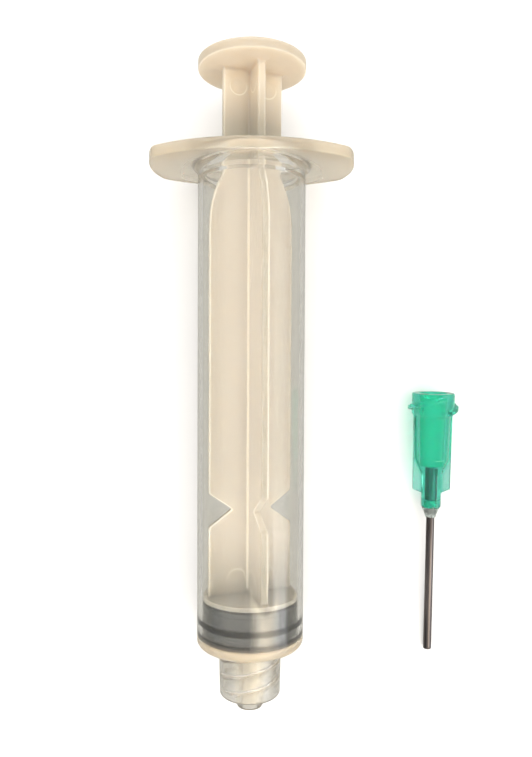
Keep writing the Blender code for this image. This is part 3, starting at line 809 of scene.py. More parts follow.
@dataclass
class Barrel:
    """Tube, finger flange, front wall, luer cone and threaded collar in one moulding.

    Heights count up from the cone's tip.
    """

    axis: Axis
    finish: BarrelPlastic
    bore: float = 14.5 * MM
    wall: float = 0.75 * MM
    front_face: float = 9.8 * MM
    front_wall: float = 0.8 * MM
    rim_round: float = 0.7 * MM
    mouth: float = 82.4 * MM
    mouth_chamfer: float = 0.4 * MM
    bead_below_mouth: float = 3.0 * MM
    bead_height: float = 0.25 * MM
    bead_half_width: float = 0.6 * MM
    flange_thickness: float = 1.6 * MM
    flange_half_length: float = 15.1 * MM
    flange_half_depth: float = 10.0 * MM
    flange_side_radius: float = 24.5 * MM
    flange_tip_radius: float = 14.0 * MM
    flange_corner_radius: float = 2.0 * MM
    flange_edge_round: float = 0.2 * MM
    flange_root_fillet: float = 1.2 * MM
    nozzle_tip: float = 3.96 * MM
    nozzle_bore: float = 2.1 * MM
    nozzle_proud: float = 2.2 * MM
    luer_taper: float = 0.06
    collar_bore: float = 8.0 * MM
    collar_outside: float = 9.1 * MM
    collar_draft: float = 0.15 * MM
    thread_height: float = 0.45 * MM
    thread_lead: float = 5.0 * MM
    thread_starts: int = 2
    thread_start: float = math.radians(65.0)
    thread_half_width: float = 0.5 * MM
    thread_end_gap: float = 0.7 * MM
    thread_fade: float = 0.4 * MM
    small_round: float = 0.12 * MM
    tip_round: float = 0.24 * MM
    floor_round: float = 0.24 * MM
    columns: int = 288
    step: float = 1.6 * MM
    thread_step: float = 0.14 * MM
    face_milk: float = 0.36
    rim_milk: float = 0.66
    collar_milk: float = 0.15
    cone_milk: float = 0.32
    tip_milk: float = 0.15
    thread_milk: float = 0.5

    def flange_reach(self, angle: Array) -> Array:
        """Polar radius of the flange's outline.

        A quarter of the outline is a tip arc about a point on the long axis, a corner arc
        and a side arc about a point on the short axis. Where a ray leaves a circle of
        radius R about c, its length is d.c + sqrt(R^2 - |c|^2 + (d.c)^2).

        Args:
            angle: polar angles of the rays.

        Returns:
            The outline's radius along each ray.
        """
        across = np.abs(np.cos(angle))
        along = np.abs(np.sin(angle))
        tip = np.array([self.flange_half_length - self.flange_tip_radius, 0.0])
        side = np.array([0.0, self.flange_half_depth - self.flange_side_radius])
        tip_gap = self.flange_tip_radius - self.flange_corner_radius
        side_gap = self.flange_side_radius - self.flange_corner_radius
        apart = np.linalg.norm(side - tip)
        run = (apart ** 2 + tip_gap ** 2 - side_gap ** 2) / (2.0 * apart)
        way = (side - tip) / apart
        square = np.array([way[1], -way[0]])
        corner = tip + way * run - square * math.sqrt(tip_gap ** 2 - run ** 2)
        tip_meets = corner + unit(corner - tip) * self.flange_corner_radius
        side_meets = corner + unit(corner - side) * self.flange_corner_radius
        ray = np.arctan2(along, across)

        def leave(centre: Array, radius: float) -> Array:
            """Length of each ray to where it leaves a circle."""
            reach = across * centre[0] + along * centre[1]
            return reach + np.sqrt(np.maximum(0.0, radius ** 2 - centre @ centre + reach ** 2))

        return np.select(
            [ray < np.arctan2(tip_meets[1], tip_meets[0]), ray < np.arctan2(side_meets[1], side_meets[0])],
            [leave(tip, self.flange_tip_radius), leave(corner, self.flange_corner_radius)],
            leave(side, self.flange_side_radius),
        )

    def nozzle_radius(self, height: float) -> float:
        """Radius of the luer cone at a height above its tip."""
        return self.nozzle_tip / 2.0 + self.luer_taper / 2.0 * height

    def section(self) -> Array:
        """Closed half-section of the moulding, with closer rows along the thread.

        Returns:
            Rows of radius, height, share of flange and share of thread.
        """
        bore_r = self.bore / 2.0
        outer_r = bore_r + self.wall
        under = self.mouth - self.flange_thickness
        bead = self.mouth - self.bead_below_mouth
        collar_r = self.collar_outside / 2.0
        thread_r = self.collar_bore / 2.0
        floor = self.front_face + self.front_wall
        tiny = self.small_round
        corners = np.array([
            (bore_r + self.mouth_chamfer, self.mouth, tiny, 0.0, 0.0),
            (self.flange_half_depth, self.mouth, self.flange_edge_round, 1.0, 0.0),
            (self.flange_half_depth, under, self.flange_edge_round, 1.0, 0.0),
            (outer_r, under, self.flange_root_fillet, 0.0, 0.0),
            (outer_r, self.front_face, self.rim_round, 0.0, 0.0),
            (collar_r + self.collar_draft, self.front_face, tiny, 0.0, 0.0),
            (collar_r, self.nozzle_proud, tiny, 0.0, 0.0),
            (thread_r, self.nozzle_proud, tiny, 0.0, 1.0),
            (thread_r, self.front_face, tiny, 0.0, 1.0),
            (self.nozzle_radius(self.front_face), self.front_face, tiny, 0.0, 0.0),
            (self.nozzle_tip / 2.0, 0.0, self.tip_round, 0.0, 0.0),
            (self.nozzle_bore / 2.0, 0.0, tiny, 0.0, 0.0),
            (self.nozzle_bore / 2.0, floor, tiny, 0.0, 0.0),
            (bore_r, floor, self.floor_round, 0.0, 0.0),
            (bore_r, bead - self.bead_half_width, tiny, 0.0, 0.0),
            (bore_r - self.bead_height, bead, tiny, 0.0, 0.0),
            (bore_r, bead + self.bead_half_width, tiny, 0.0, 0.0),
            (bore_r, self.mouth - self.mouth_chamfer, tiny, 0.0, 0.0),
        ])
        rows = rounded_section(corners, Ends.LOOP)
        coarse = subdivided(rows, self.step, Ends.LOOP)
        fine = subdivided(rows, self.thread_step, Ends.LOOP)
        collar = np.flatnonzero(fine[:, 3] == 1.0)
        first, last = np.flatnonzero(coarse[:, 3] == 1.0)[[0, -1]]
        return np.concatenate([coarse[:first], fine[collar[0]:collar[-1] + 1], coarse[last + 1:]])

    def skin(self) -> Skin:
        """Surface r(row, angle): the section's radius, plus the flange's reach, less the thread.

        The thread is a round ridge where the height above its start, less the lead for each turn
        of angle, is a whole number of pitches, so it climbs right-handed; it fades out at its ends.

        Returns:
            The closed surface with its thick mark.
        """
        angle = even_angles(self.columns)
        radius, height, flange, thread = np.split(self.section(), 4, axis=1)
        pitch = self.thread_lead / self.thread_starts
        first = self.nozzle_proud + self.thread_end_gap + self.thread_half_width
        climb = height - first - self.thread_lead * (angle - self.thread_start) / FULL_TURN
        offset = (climb / pitch - np.round(climb / pitch)) * pitch
        inside = np.minimum(height - self.nozzle_proud, self.front_face - height) - self.thread_end_gap
        ridge = bump(offset, self.thread_half_width) * ease(inside / self.thread_fade) * (thread == 1.0)
        reach = radius + flange * (self.flange_reach(angle) - self.flange_half_depth)
        reach = reach - self.thread_height * ridge
        tall = np.broadcast_to(height, reach.shape)
        points = np.stack([reach * np.cos(angle), reach * np.sin(angle), tall], axis=2)
        return Skin(points, Ends.LOOP, {"thick": self.thick_mark(radius, tall, ridge)})

    def thick_mark(self, radius: Array, height: Array, ridge: Array) -> Array:
        """How milky each point is: most at the front wall, less on flange and nozzle, none on the tube.

        Args:
            radius: the section's own radius on each row.
            height: height of each point.
            ridge: how much of the thread stands at each point.

        Returns:
            Shares from 0, a thin clear wall, to 1, a thick milky one.
        """
        under = self.mouth - self.flange_thickness
        flange = ease((height - under + self.flange_root_fillet) / self.flange_root_fillet)
        outside = ease((radius - self.bore / 2.0) / self.wall)
        rim = ease((radius - self.flange_half_depth + self.flange_thickness) / self.flange_thickness)
        face = flange * outside * (self.face_milk + (self.rim_milk - self.face_milk) * rim)
        front = ease((self.front_face + self.front_wall + self.rim_round - height) / self.rim_round)
        collar = ease((self.front_face - height) / self.rim_round)
        covered = ease(height / self.nozzle_proud)
        cone = self.tip_milk + covered * (self.cone_milk - self.tip_milk)
        on_cone = radius < self.collar_bore / 2.0 - self.thread_height
        nose = front * (1.0 - collar * (1.0 - np.where(on_cone, cone, self.collar_milk)))
        return np.maximum(np.maximum(face, nose), self.thread_milk * ridge)

    def build(self) -> bpy.types.Object:
        """Make the barrel and dress it."""
        mesh = self.skin().mesh("barrel_skin", self.axis)
        return add_piece(mesh, self.finish.material(), Body.BARREL)


@dataclass
class Plunger:
    """Cross-ribbed rod between a thumb rest and the disc that backs the seal.

    Heights count up from the barrel's tip, and the ribs are turned by an angle about the axis.
    Values named for spans, radii or fillets count in those, and notch_tail counts in half spans.
    """

    axis: Axis
    finish: RodPlastic
    turn: float = math.radians(19.5)
    rib_half_width: float = 6.45 * MM
    rib_half_thickness: float = 0.55 * MM
    rib_edge_round: float = 0.18 * MM
    rib_root_fillet: float = 0.35 * MM
    rib_foot_fillet: float = 0.3 * MM
    rib_head_fillet: float = 0.45 * MM
    neck_inset: float = 1.95 * MM
    shoulder: float = 72.0 * MM
    shoulder_radius: float = 16.0 * MM
    shoulder_share: float = 0.9
    notch: float = 30.2 * MM
    notch_half_span: float = 2.3 * MM
    notch_depth: float = 3.3 * MM
    notch_round: float = 0.18 * MM
    notch_tail: float = 2.0
    disc_bottom: float = 16.8 * MM
    disc_thickness: float = 0.7 * MM
    disc_diameter: float = 14.1 * MM
    stud_neck: float = 4.0 * MM
    stud_neck_length: float = 1.4 * MM
    stud_head: float = 6.4 * MM
    stud_head_length: float = 1.6 * MM
    thumb_underside: float = 95.0 * MM
    thumb_thickness: float = 1.45 * MM
    thumb_diameter: float = 16.0 * MM
    thumb_edge_round: float = 0.22 * MM
    mark_out: float = 2.3 * MM
    mark_from_end: float = 2.5 * MM
    mark_radius: float = 1.3 * MM
    mark_depth: float = 0.06 * MM
    mark_fade: float = 0.25
    small_round: float = 0.08 * MM
    side_columns: int = 14
    corner_columns: int = 4
    flat_columns: int = 2
    root_columns: int = 4
    edge_share: float = 0.97
    row_step: float = 0.5 * MM
    fine_step: float = 0.14 * MM
    end_step: float = 1.0 * MM
    fillet_rows: int = 6
    head_rows: int = 48
    fine_notch_spans: float = 1.3
    fine_mark_radii: float = 1.5
    foot_clear_fillets: float = 2.0
    head_clear_fillets: float = 3.0
    # Painted highlight lines: their strength on one corner and at the root of each rib, at the notches and
    # on the neck.
    corner_highlight: float = 0.25
    root_highlight: float = 0.55
    root_zone: float = 1.8 * MM
    notch_lift: float = 1.2
    notch_fade: float = 0.7 * MM
    neck_highlight: float = 0.25
    # Painted shade on the rib tips, on the neck above the barrel's mouth and near the disc.
    tip_painted_shade: float = 0.6
    painted_shade_from: float = 80.5 * MM
    painted_shade_full: float = 84.5 * MM
    disc_painted_shade: float = 0.75
    disc_painted_shade_over: float = 9.0 * MM
    # Share of the painted light that is left on the thumb rest's rim.
    rim_painted_light: float = 0.45

    @property
    def disc_top(self) -> float:
        """Height of the disc's upper face."""
        return self.disc_bottom + self.disc_thickness

    def rib_columns(self) -> list[int]:
        """Columns of a rib's side, corner, narrow face, other corner, other side and next root."""
        corner = self.corner_columns
        return [self.side_columns, corner, self.flat_columns, corner, self.side_columns, self.root_columns]

    def heights(self) -> Array:
        """Heights of the rows along the ribs, closer at the ends, the ejector marks and the notch.

        Returns:
            Rising heights from the disc to the thumb rest.
        """
        marked = self.mark_from_end + self.fine_mark_radii * self.mark_radius
        head_start = self.thumb_underside - marked
        fillet_end = self.disc_top + self.rib_foot_fillet
        notch_reach = self.fine_notch_spans * self.notch_half_span
        notch_low = self.notch - notch_reach
        notch_high = self.notch + notch_reach
        fillet = np.linspace(self.disc_top, fillet_end, self.fillet_rows)
        foot = np.arange(fillet_end + self.fine_step, self.disc_top + marked, self.fine_step)
        lower = np.arange(foot[-1] + self.row_step, notch_low, self.row_step)
        notch = np.arange(notch_low, notch_high, self.fine_step)
        upper = np.arange(notch_high, head_start, self.row_step)
        head = np.linspace(head_start, self.thumb_underside, self.head_rows)
        return np.concatenate([fillet, foot, lower, notch, upper, head])

    def half_width(self, height: Array) -> Array:
        """Half-width of the ribs: a V notch, then a shoulder arc that falls to the neck.

        The notch takes off depth * (1 - |offset| / half span), with its corners softened by
        a root of squares; the shoulder takes off R - sqrt(R^2 - rise^2), up to the neck's inset.

        Args:
            height: heights along the rod.

        Returns:
            The ribs' half-width at each height.
        """
        offset = np.abs(height - self.notch)
        soft = np.sqrt(offset ** 2 + self.notch_round ** 2) - self.notch_round
        slope = self.notch_depth / self.notch_half_span
        flat = self.notch_depth - slope * soft
        notch = 0.5 * (flat + np.sqrt(flat ** 2 + (slope * self.notch_round) ** 2))
        notch = np.where(offset < self.notch_tail * self.notch_half_span, notch, 0.0)
        rise = np.clip(height - self.shoulder, 0.0, self.shoulder_share * self.shoulder_radius)
        fall = self.shoulder_radius - np.sqrt(self.shoulder_radius ** 2 - rise ** 2)
        return self.rib_half_width - notch - np.minimum(fall, self.neck_inset)

    def end_fillets(self, height: Array) -> Array:
        """How far the ribs swell into the disc and the thumb rest: quarter circles at both ends.

        Args:
            height: heights along the rod.

        Returns:
            The swelling at each height.
        """
        foot = np.clip(1.0 - (height - self.disc_top) / self.rib_foot_fillet, 0.0, 1.0)
        head = np.clip(1.0 - (self.thumb_underside - height) / self.rib_head_fillet, 0.0, 1.0)
        swell = self.rib_foot_fillet * (1.0 - np.sqrt(1.0 - foot ** 2))
        return swell + self.rib_head_fillet * (1.0 - np.sqrt(1.0 - head ** 2))

    def from_end(self, height: Array) -> Array:
        """Distance from the nearer end of the ribs."""
        return np.minimum(self.thumb_underside - height, height - self.disc_top)

    def cross_rows(self) -> Array:
        """Rows of the crossed ribs: one rib's outline, repeated by quarter turns.

        One rib runs along +x: out along its lower side, round its edge, back along its upper
        side and through the fillet to the next rib. Points are complex numbers, so a quarter
        turn is a multiplication by i. Round ejector marks sink the sides near both ends.

        Returns:
            A grid of points, with a row for each height.
        """
        height = self.heights()[:, None]
        swell = self.end_fillets(height)
        width = self.half_width(height) + swell
        thick = self.rib_half_thickness + swell
        edge = self.rib_edge_round
        fillet = self.rib_root_fillet
        share = np.append(np.linspace(0.0, self.edge_share, self.side_columns - 1), 1.0)[None, :]
        out = thick + fillet + share * (width - edge - thick - fillet)
        apart = np.hypot(out - self.mark_out, self.from_end(height) - self.mark_from_end)
        sunk = self.mark_depth * ease((self.mark_radius - apart) / (self.mark_fade * self.mark_radius))
        side = thick - sunk
        arc = np.linspace(-np.pi / 2.0, 0.0, self.corner_columns)[None, :]
        corner = width - edge - 1.0j * (thick - edge) + edge * np.exp(1.0j * arc)
        flat = width + 1.0j * (thick - edge) * np.linspace(-0.5, 0.5, self.flat_columns)[None, :]
        tip = np.concatenate([corner, flat, np.conj(corner)[:, ::-1]], axis=1)
        bend = np.linspace(-np.pi / 2.0, -np.pi, self.root_columns + 2)[None, 1:-1]
        root = (1.0 + 1.0j) * (thick + fillet) + fillet * np.exp(1.0j * bend)
        rib = np.concatenate([out - 1.0j * side, tip, (out + 1.0j * side)[:, ::-1], root], axis=1)
        outline = np.concatenate([rib * 1.0j ** quarter for quarter in range(QUARTERS)], axis=1)
        outline = outline * np.exp(1.0j * self.turn)
        tall = np.broadcast_to(height, outline.shape)
        return np.stack([outline.real, outline.imag, tall], axis=2)

    def round_rows(self, corners: Array, face: float, reach: float) -> Array:
        """Rows of a round end, turned at angles that line up with the ribs' columns.

        Args:
            corners: the half-section's corners, from pole to pole.
            face: height of the face that the ribs stand on.
            reach: radius on that face that the ribs take up, where no rows are left.

        Returns:
            A grid of points, with a row for each row of the section.
        """
        rows = subdivided(rounded_section(corners, Ends.POLES), self.end_step, Ends.POLES)[1:-1]
        on_face = np.abs(rows[:, 1] - face) < self.small_round / 2.0
        columns = sum(self.rib_columns())
        middle = (columns - self.root_columns - 1) / 2.0
        angle = (np.arange(QUARTERS * columns) - middle) * (FULL_TURN / QUARTERS / columns) + self.turn
        return at_angles(rows[~(on_face & (rows[:, 0] < reach))], angle)

    def foot_end(self) -> Array:
        """Rows of the stud and the disc, from the lower pole to the foot of the ribs.

        Returns:
            A grid of points.
        """
        tiny = self.small_round
        neck_end = self.disc_bottom - self.stud_neck_length
        stud_end = neck_end - self.stud_head_length
        reach = self.half_width(np.array(self.disc_top)) + self.foot_clear_fillets * self.rib_foot_fillet
        return self.round_rows(np.array([
            (0.0, stud_end, 0.0),
            (self.stud_neck / 2.0, stud_end, tiny),
            (self.stud_head / 2.0, neck_end, tiny),
            (self.stud_neck / 2.0, neck_end, tiny),
            (self.stud_neck / 2.0, self.disc_bottom, tiny),
            (self.disc_diameter / 2.0, self.disc_bottom, tiny),
            (self.disc_diameter / 2.0, self.disc_top, tiny),
            (0.0, self.disc_top, 0.0),
        ]), self.disc_top, reach)

    def head_end(self) -> Array:
        """Rows of the thumb rest, from the head of the ribs to the upper pole.

        Returns:
            A grid of points.
        """
        under = self.thumb_underside
        top = under + self.thumb_thickness
        rim = self.thumb_diameter / 2.0
        reach = self.half_width(np.array(under)) + self.head_clear_fillets * self.rib_head_fillet
        return self.round_rows(np.array([
            (0.0, under, 0.0),
            (rim, under, self.thumb_edge_round),
            (rim, top, self.thumb_edge_round),
            (0.0, top, 0.0),
        ]), under, reach)

    def skin(self) -> Skin:
        """Stud and disc, crossed ribs and thumb rest, from the lower pole to the upper one.

        Returns:
            The closed surface with its marks.
        """
        parts = [self.foot_end(), self.cross_rows(), self.head_end()]
        on_ribs = np.repeat([0.0, 1.0, 0.0], [len(part) for part in parts])
        points = np.concatenate(parts)
        return Skin(points, Ends.POLES, self.marks(points, on_ribs))

    def marks(self, points: Array, on_ribs: Array) -> dict[str, Array]:
        """What the finish paints: painted highlight lines, painted shade, painted light, and places round
        the ejector marks for painted highlight arcs.

        Args:
            points: the grid of points.
            on_ribs: 1 for each row of the ribs, 0 for the rows of the two ends.

        Returns:
            Each mark's values by row and column; mark_across and mark_along are in mark radii.
        """
        tall = points[:, :, 2]
        height = tall[:, 0]
        across = (points[:, :, 0] + 1.0j * points[:, :, 1]) * np.exp(-1.0j * self.turn)
        out = np.maximum(np.abs(across.real), np.abs(across.imag))
        clear_of_ends = ease((self.from_end(height) - self.rib_head_fillet) / self.rib_head_fillet)
        strength = on_ribs * clear_of_ends * (1.0 - self.on_neck(height) * (1.0 - self.neck_highlight))
        strength = strength[:, None] * self.notch_share(height, out)
        columns = self.rib_columns()
        # Painted shade on the rib tips, which catch more light than the sides.
        tip = np.repeat([0.0, self.tip_painted_shade, self.tip_painted_shade, 0.0, 0.0, 0.0], columns)
        # Painted highlight lines on one corner and at the root of each rib.
        highlight_lines = np.repeat([0.0, 0.0, 0.0, self.corner_highlight, 0.0, self.root_highlight], columns)
        painted_shade = self.painted_shade_mark(tall) + strength * np.tile(tip, QUARTERS)
        return {
            # Painted highlight lines, painted shade and painted light, in that order.
            "edge": strength * np.tile(highlight_lines, QUARTERS),
            "painted_shade": np.minimum(1.0, painted_shade),
            "pale": self.painted_light_mark(tall),
            "mark_across": (out - self.mark_out) / self.mark_radius,
            "mark_along": (self.from_end(tall) - self.mark_from_end) / self.mark_radius,
        }

    def on_neck(self, height: Array) -> Array:
        """Smooth rise from 0 inside the barrel to 1 on the neck above its mouth."""
        return ease((height - self.painted_shade_from) / (self.painted_shade_full - self.painted_shade_from))

    def painted_shade_mark(self, height: Array) -> Array:
        """Painted shade: most on the neck above the barrel's mouth, less near the disc."""
        disc = ease((self.disc_top + self.disc_painted_shade_over - height) / self.disc_painted_shade_over)
        return self.on_neck(height) + self.disc_painted_shade * disc

    def painted_light_mark(self, height: Array) -> Array:
        """Painted light: rising along the neck to the thumb rest, less at its rim.

        Args:
            height: height of each point.

        Returns:
            Shares from 0 to 1.
        """
        thumb = ease((height - self.painted_shade_full) / (self.thumb_underside - self.painted_shade_full))
        rim = ease((height - self.thumb_underside) / self.thumb_edge_round)
        return thumb * (1.0 - rim * (1.0 - self.rim_painted_light))

    def notch_share(self, height: Array, out: Array) -> Array:
        """How strong the ribs' painted highlight lines and painted shade are at the notches: more on two
        ribs, none on the other two.

        The change fades in and out about the notch's corners.

        Args:
            height: height of each row.
            out: how far out each point lies along its rib.

        Returns:
            A share for each point, 1 away from the notches and at the ribs' roots.
        """
        inside = self.notch_half_span - np.abs(height - self.notch)
        within = ease(0.5 + inside / self.notch_fade)
        change = np.tile(np.repeat([self.notch_lift, -1.0], sum(self.rib_columns())), QUARTERS // 2)
        return 1.0 + within[:, None] * change * (out > self.root_zone)

    def build(self) -> bpy.types.Object:
        """Make the rod and dress it."""
        mesh = self.skin().mesh("plunger_rod_skin", self.axis)
        return add_piece(mesh, self.finish.material(), Body.PLUNGER)


@dataclass
class Piston:
    """Rubber seal with two sealing ribs and a top land, snapped over the rod's stud.

    Heights on the seal count up from its underside.
    """

    axis: Axis
    finish: SealRubber
    bottom: float = 10.9 * MM
    height: float = 5.6 * MM
    rib_radius: float = 7.262 * MM
    waist_depth: float = 0.17 * MM
    rib_half_width: float = 0.42 * MM
    lower_rib: float = 0.62 * MM
    upper_rib: float = 2.75 * MM
    rib_slope: float = 0.22 * MM
    toe: float = 0.25 * MM
    top_land: float = 0.5 * MM
    land_radius: float = 7.19 * MM
    pocket_neck: float = 4.6 * MM
    pocket_head: float = 7.0 * MM
    pocket_top: float = 4.8 * MM
    pocket_wall: float = 0.56 * MM
    pocket_floor: float = 2.6 * MM
    small_round: float = 0.1 * MM
    # How far in from the sealing ribs' radius the painted shade reaches, and how softly it ends.
    contact_shade_depth: float = 0.09 * MM
    contact_shade_fade: float = 0.05 * MM
    columns: int = 192
    step: float = 0.4 * MM

    def section(self) -> Array:
        """Half-section from the pocket's floor, over the outside, to the middle of the underside.

        Returns:
            Corners as rows of radius, height and rounding.
        """
        rib = self.rib_radius
        waist = rib - self.waist_depth
        slope = self.rib_slope
        neck = self.pocket_neck / 2.0
        head = self.pocket_head / 2.0
        upper_top = self.upper_rib + self.rib_half_width
        upper_foot = self.upper_rib - self.rib_half_width
        lower_top = self.lower_rib + self.rib_half_width
        outline = np.array([
            (0.0, self.pocket_floor),
            (neck, self.pocket_floor),
            (head, self.pocket_top - self.pocket_wall),
            (head, self.pocket_top),
            (neck, self.pocket_top),
            (neck, self.height),
            (waist, self.height),
            (self.land_radius, self.height - slope),
            (self.land_radius, self.height - self.top_land),
            (waist, self.height - self.top_land - slope),
            (waist, upper_top + slope),
            (rib, upper_top),
            (rib, upper_foot),
            (waist, upper_foot - slope),
            (waist, lower_top + slope),
            (rib, lower_top),
            (rib, self.toe),
            (rib - slope, 0.0),
            (0.0, 0.0),
        ])
        rounding = np.full((len(outline), 1), self.small_round)
        rounding[[0, -1]] = 0.0
        return np.concatenate([outline + (0.0, self.bottom), rounding], axis=1)

    def skin(self) -> Skin:
        """The section turned about the axis, with painted shade marked on the bands that press against the
        bore.

        Returns:
            The closed surface with its painted shade mark.
        """
        rows = subdivided(rounded_section(self.section(), Ends.POLES), self.step, Ends.POLES)[1:-1]
        points = at_angles(rows, even_angles(self.columns))
        # Painted shade on the bands that press against the bore.
        painted_contact_shade = ease((rows[:, :1] - self.rib_radius + self.contact_shade_depth) / self.contact_shade_fade)
        return Skin(points, Ends.POLES, {"painted_contact_shade": np.broadcast_to(painted_contact_shade, points.shape[:2])})

    def build(self) -> bpy.types.Object:
        """Make the seal and dress it."""
        mesh = self.skin().mesh("piston_seal_skin", self.axis)
        return add_piece(mesh, self.finish.material(), Body.PISTON)


@dataclass
class Needle:
    """Green luer hub with wings and screw lugs, blunt steel tube and the epoxy between them.

    Heights count down from the hub's mouth, which faces along +z.
    """

    axis: Axis
    hub_finish: HubPlastic
    tube_finish: NeedleSteel
    epoxy_finish: ClearEpoxy
    tube_diameter: float = 1.27 * MM
    tube_bore: float = 0.84 * MM
    tube_end: float = -41.7 * MM
    tube_round: float = 0.04 * MM
    hub_end: float = -18.2 * MM
    mouth_diameter: float = 6.6 * MM
    mouth_length: float = 3.2 * MM
    mouth_round: float = 0.2 * MM
    socket_diameter: float = 4.27 * MM
    socket_depth: float = 11.5 * MM
    socket_wall: float = 0.65 * MM
    luer_taper: float = 0.06
    nose_diameter: float = 3.1 * MM
    nose_length: float = 5.1 * MM
    nose_taper: float = 2.6 * MM
    nose_round: float = 0.6 * MM
    wing_half_span: float = 3.05 * MM
    wing_half_thickness: float = 0.5 * MM
    wing_end: float = -15.4 * MM
    wing_slope: float = 0.8 * MM
    wing_draft: float = 0.12 * MM
    wing_round: float = 0.12 * MM
    wing_least: float = 0.004 * MM
    wing_pale_below: float = 0.6 * MM
    wing_pale_past: float = 0.5 * MM
    lug_diameter: float = 7.8 * MM
    lug_width: float = 0.9 * MM
    lug_flank: float = 0.198 * MM
    lug_below_mouth: float = 0.1 * MM
    lug_lead: float = 5.0 * MM
    lug_start: float = math.radians(115.0)
    lug_sweep: float = math.radians(175.0)
    lug_end: float = 0.06
    glue_gap: float = 0.1 * MM
    tube_grip: float = 0.02 * MM
    well_diameter: float = 2.2 * MM
    well_depth: float = 1.2 * MM
    cone_diameter: float = 2.9 * MM
    cone_length: float = 1.7 * MM
    cone_skirt: float = 0.2 * MM
    cone_waist: float = 0.36
    cone_waist_round: float = 0.6 * MM
    epoxy_round: float = 0.03 * MM
    face_round: float = 0.06 * MM
    small_round: float = 0.1 * MM
    hole_round: float = 0.05 * MM
    tip_columns: int = 6
    side_columns: int = 4
    arc_columns: int = 76
    round_columns: int = 64
    mouth_step: float = 0.09 * MM
    mouth_margin: float = 0.2 * MM
    step: float = 0.5 * MM
    fine_step: float = 0.25 * MM

    @property
    def hole_radius(self) -> float:
        """Radius of what grips the tube, just inside its surface."""
        return self.tube_diameter / 2.0 - self.tube_grip

    def wing_reach(self, height: Array) -> Array:
        """Half-span of the wings: drafted edges, then a sloped end that runs into the nose.

        Args:
            height: heights of the rows.

        Returns:
            The half-span at each height, 0 below the wings.
        """
        heights = np.array([self.wing_end - self.wing_slope, self.wing_end, 0.0])
        end_span = self.wing_half_span - self.wing_draft
        spans = np.array([self.nose_diameter / 4.0, end_span, self.wing_half_span])
        return np.where(height < heights[0], 0.0, np.interp(height, heights, spans))

    def hub_section(self) -> tuple[Array, Array]:
        """Half-section of the hub.

        Returns:
            Rows of radius and height down its outside, and back up through its hole.
        """
        tiny = self.small_round
        mouth_r = self.mouth_diameter / 2.0
        nose_r = self.nose_diameter / 2.0
        socket_r = self.socket_diameter / 2.0
        body_r = socket_r + self.socket_wall
        well_r = self.well_diameter / 2.0
        slope = self.luer_taper / 2.0
        taper_end = self.hub_end + self.nose_length
        well_end = self.hub_end + self.well_depth
        outside = [
            (mouth_r, 0.0, self.mouth_round),
            (mouth_r, -self.mouth_length, tiny),
            (body_r, -self.mouth_length - mouth_r + body_r, self.mouth_round),
            (body_r - slope * self.socket_depth / 2.0, taper_end + self.nose_taper, self.nose_round),
            (nose_r, taper_end, self.nose_round),
            (nose_r, self.hub_end, tiny),
        ]
        inside = [
            (well_r, self.hub_end, self.hole_round),
            (well_r, well_end, tiny),
            (self.hole_radius, well_end, self.hole_round),
            (self.hole_radius, -self.socket_depth, self.hole_round),
            (socket_r - slope * self.socket_depth, -self.socket_depth, tiny),
            (socket_r, 0.0, tiny),
        ]
        rows = rounded_section(np.array(outside + inside), Ends.LOOP)
        split = len(rows) * len(outside) // (len(outside) + len(inside))
        return rows[:split], rows[split:]

    def lug_height(self, angle: Array, height: Array) -> Array:
        """How far the two screw lugs stand out.

        A lug's middle starts just below the mouth and falls by one lead each turn as it runs
        backwards round the mouth, which makes a right-hand helix. Its profile is flat-topped
        across the lug and ends squarely at both ends.

        Args:
            angle: angle of each point about the axis.
            height: height of each row.

        Returns:
            The height of the lugs at each point.
        """
        back = np.mod(self.lug_start - angle, np.pi)
        middle = -self.lug_below_mouth - self.lug_width / 2.0 - self.lug_lead * back / FULL_TURN
        across = ease((self.lug_width / 2.0 - np.abs(height - middle)) / self.lug_flank)
        along = ease(back / self.lug_end) * ease((self.lug_sweep - back) / self.lug_end)
        return (self.lug_diameter - self.mouth_diameter) / 2.0 * across * along

    def hub_outline(self, radius: Array, height: Array) -> Array:
        """Outlines of the hub's outside: a circle joined to a flat bar through it, on each row.

        Half of an outline is the bar's rounded end, its side back to the circle and the arc
        to the other end; the second half is the first turned by half a turn. On rows where
        the bar doesn't pass the circle its sides shrink to nothing. The lugs stand out
        radially near the mouth. Points are complex numbers.

        Args:
            radius: radius of each row's circle.
            height: height of each row.

        Returns:
            A row of points for each outline.
        """
        half = self.wing_half_thickness
        join = np.sqrt(radius ** 2 - half ** 2)
        span = np.maximum(self.wing_reach(height), join + self.wing_least)
        edge = np.minimum(self.wing_round, (span - join) / 2.0)
        bend = np.linspace(-np.pi / 2.0, np.pi / 2.0, self.tip_columns)[None, :]
        tip_side = np.sign(bend) * (half - edge) + edge * np.sin(bend)
        tip = span - edge + edge * np.cos(bend) + 1.0j * tip_side
        share = np.linspace(0.0, 1.0, self.side_columns + 2)[None, 1:-1]
        side = span - edge + share * (join - span + edge) + 1.0j * half
        start = np.arcsin(half / radius)
        sweep = start + np.linspace(0.0, 1.0, self.arc_columns)[None, :] * (np.pi - 2.0 * start)
        arc = radius * np.exp(1.0j * sweep)
        far_side = -np.conj(side)[:, ::-1]
        first = np.concatenate([tip, side, arc, far_side], axis=1)
        outline = np.concatenate([first, -first], axis=1)
        angle = np.angle(outline)
        return outline + self.lug_height(angle, height) * np.exp(1.0j * angle)

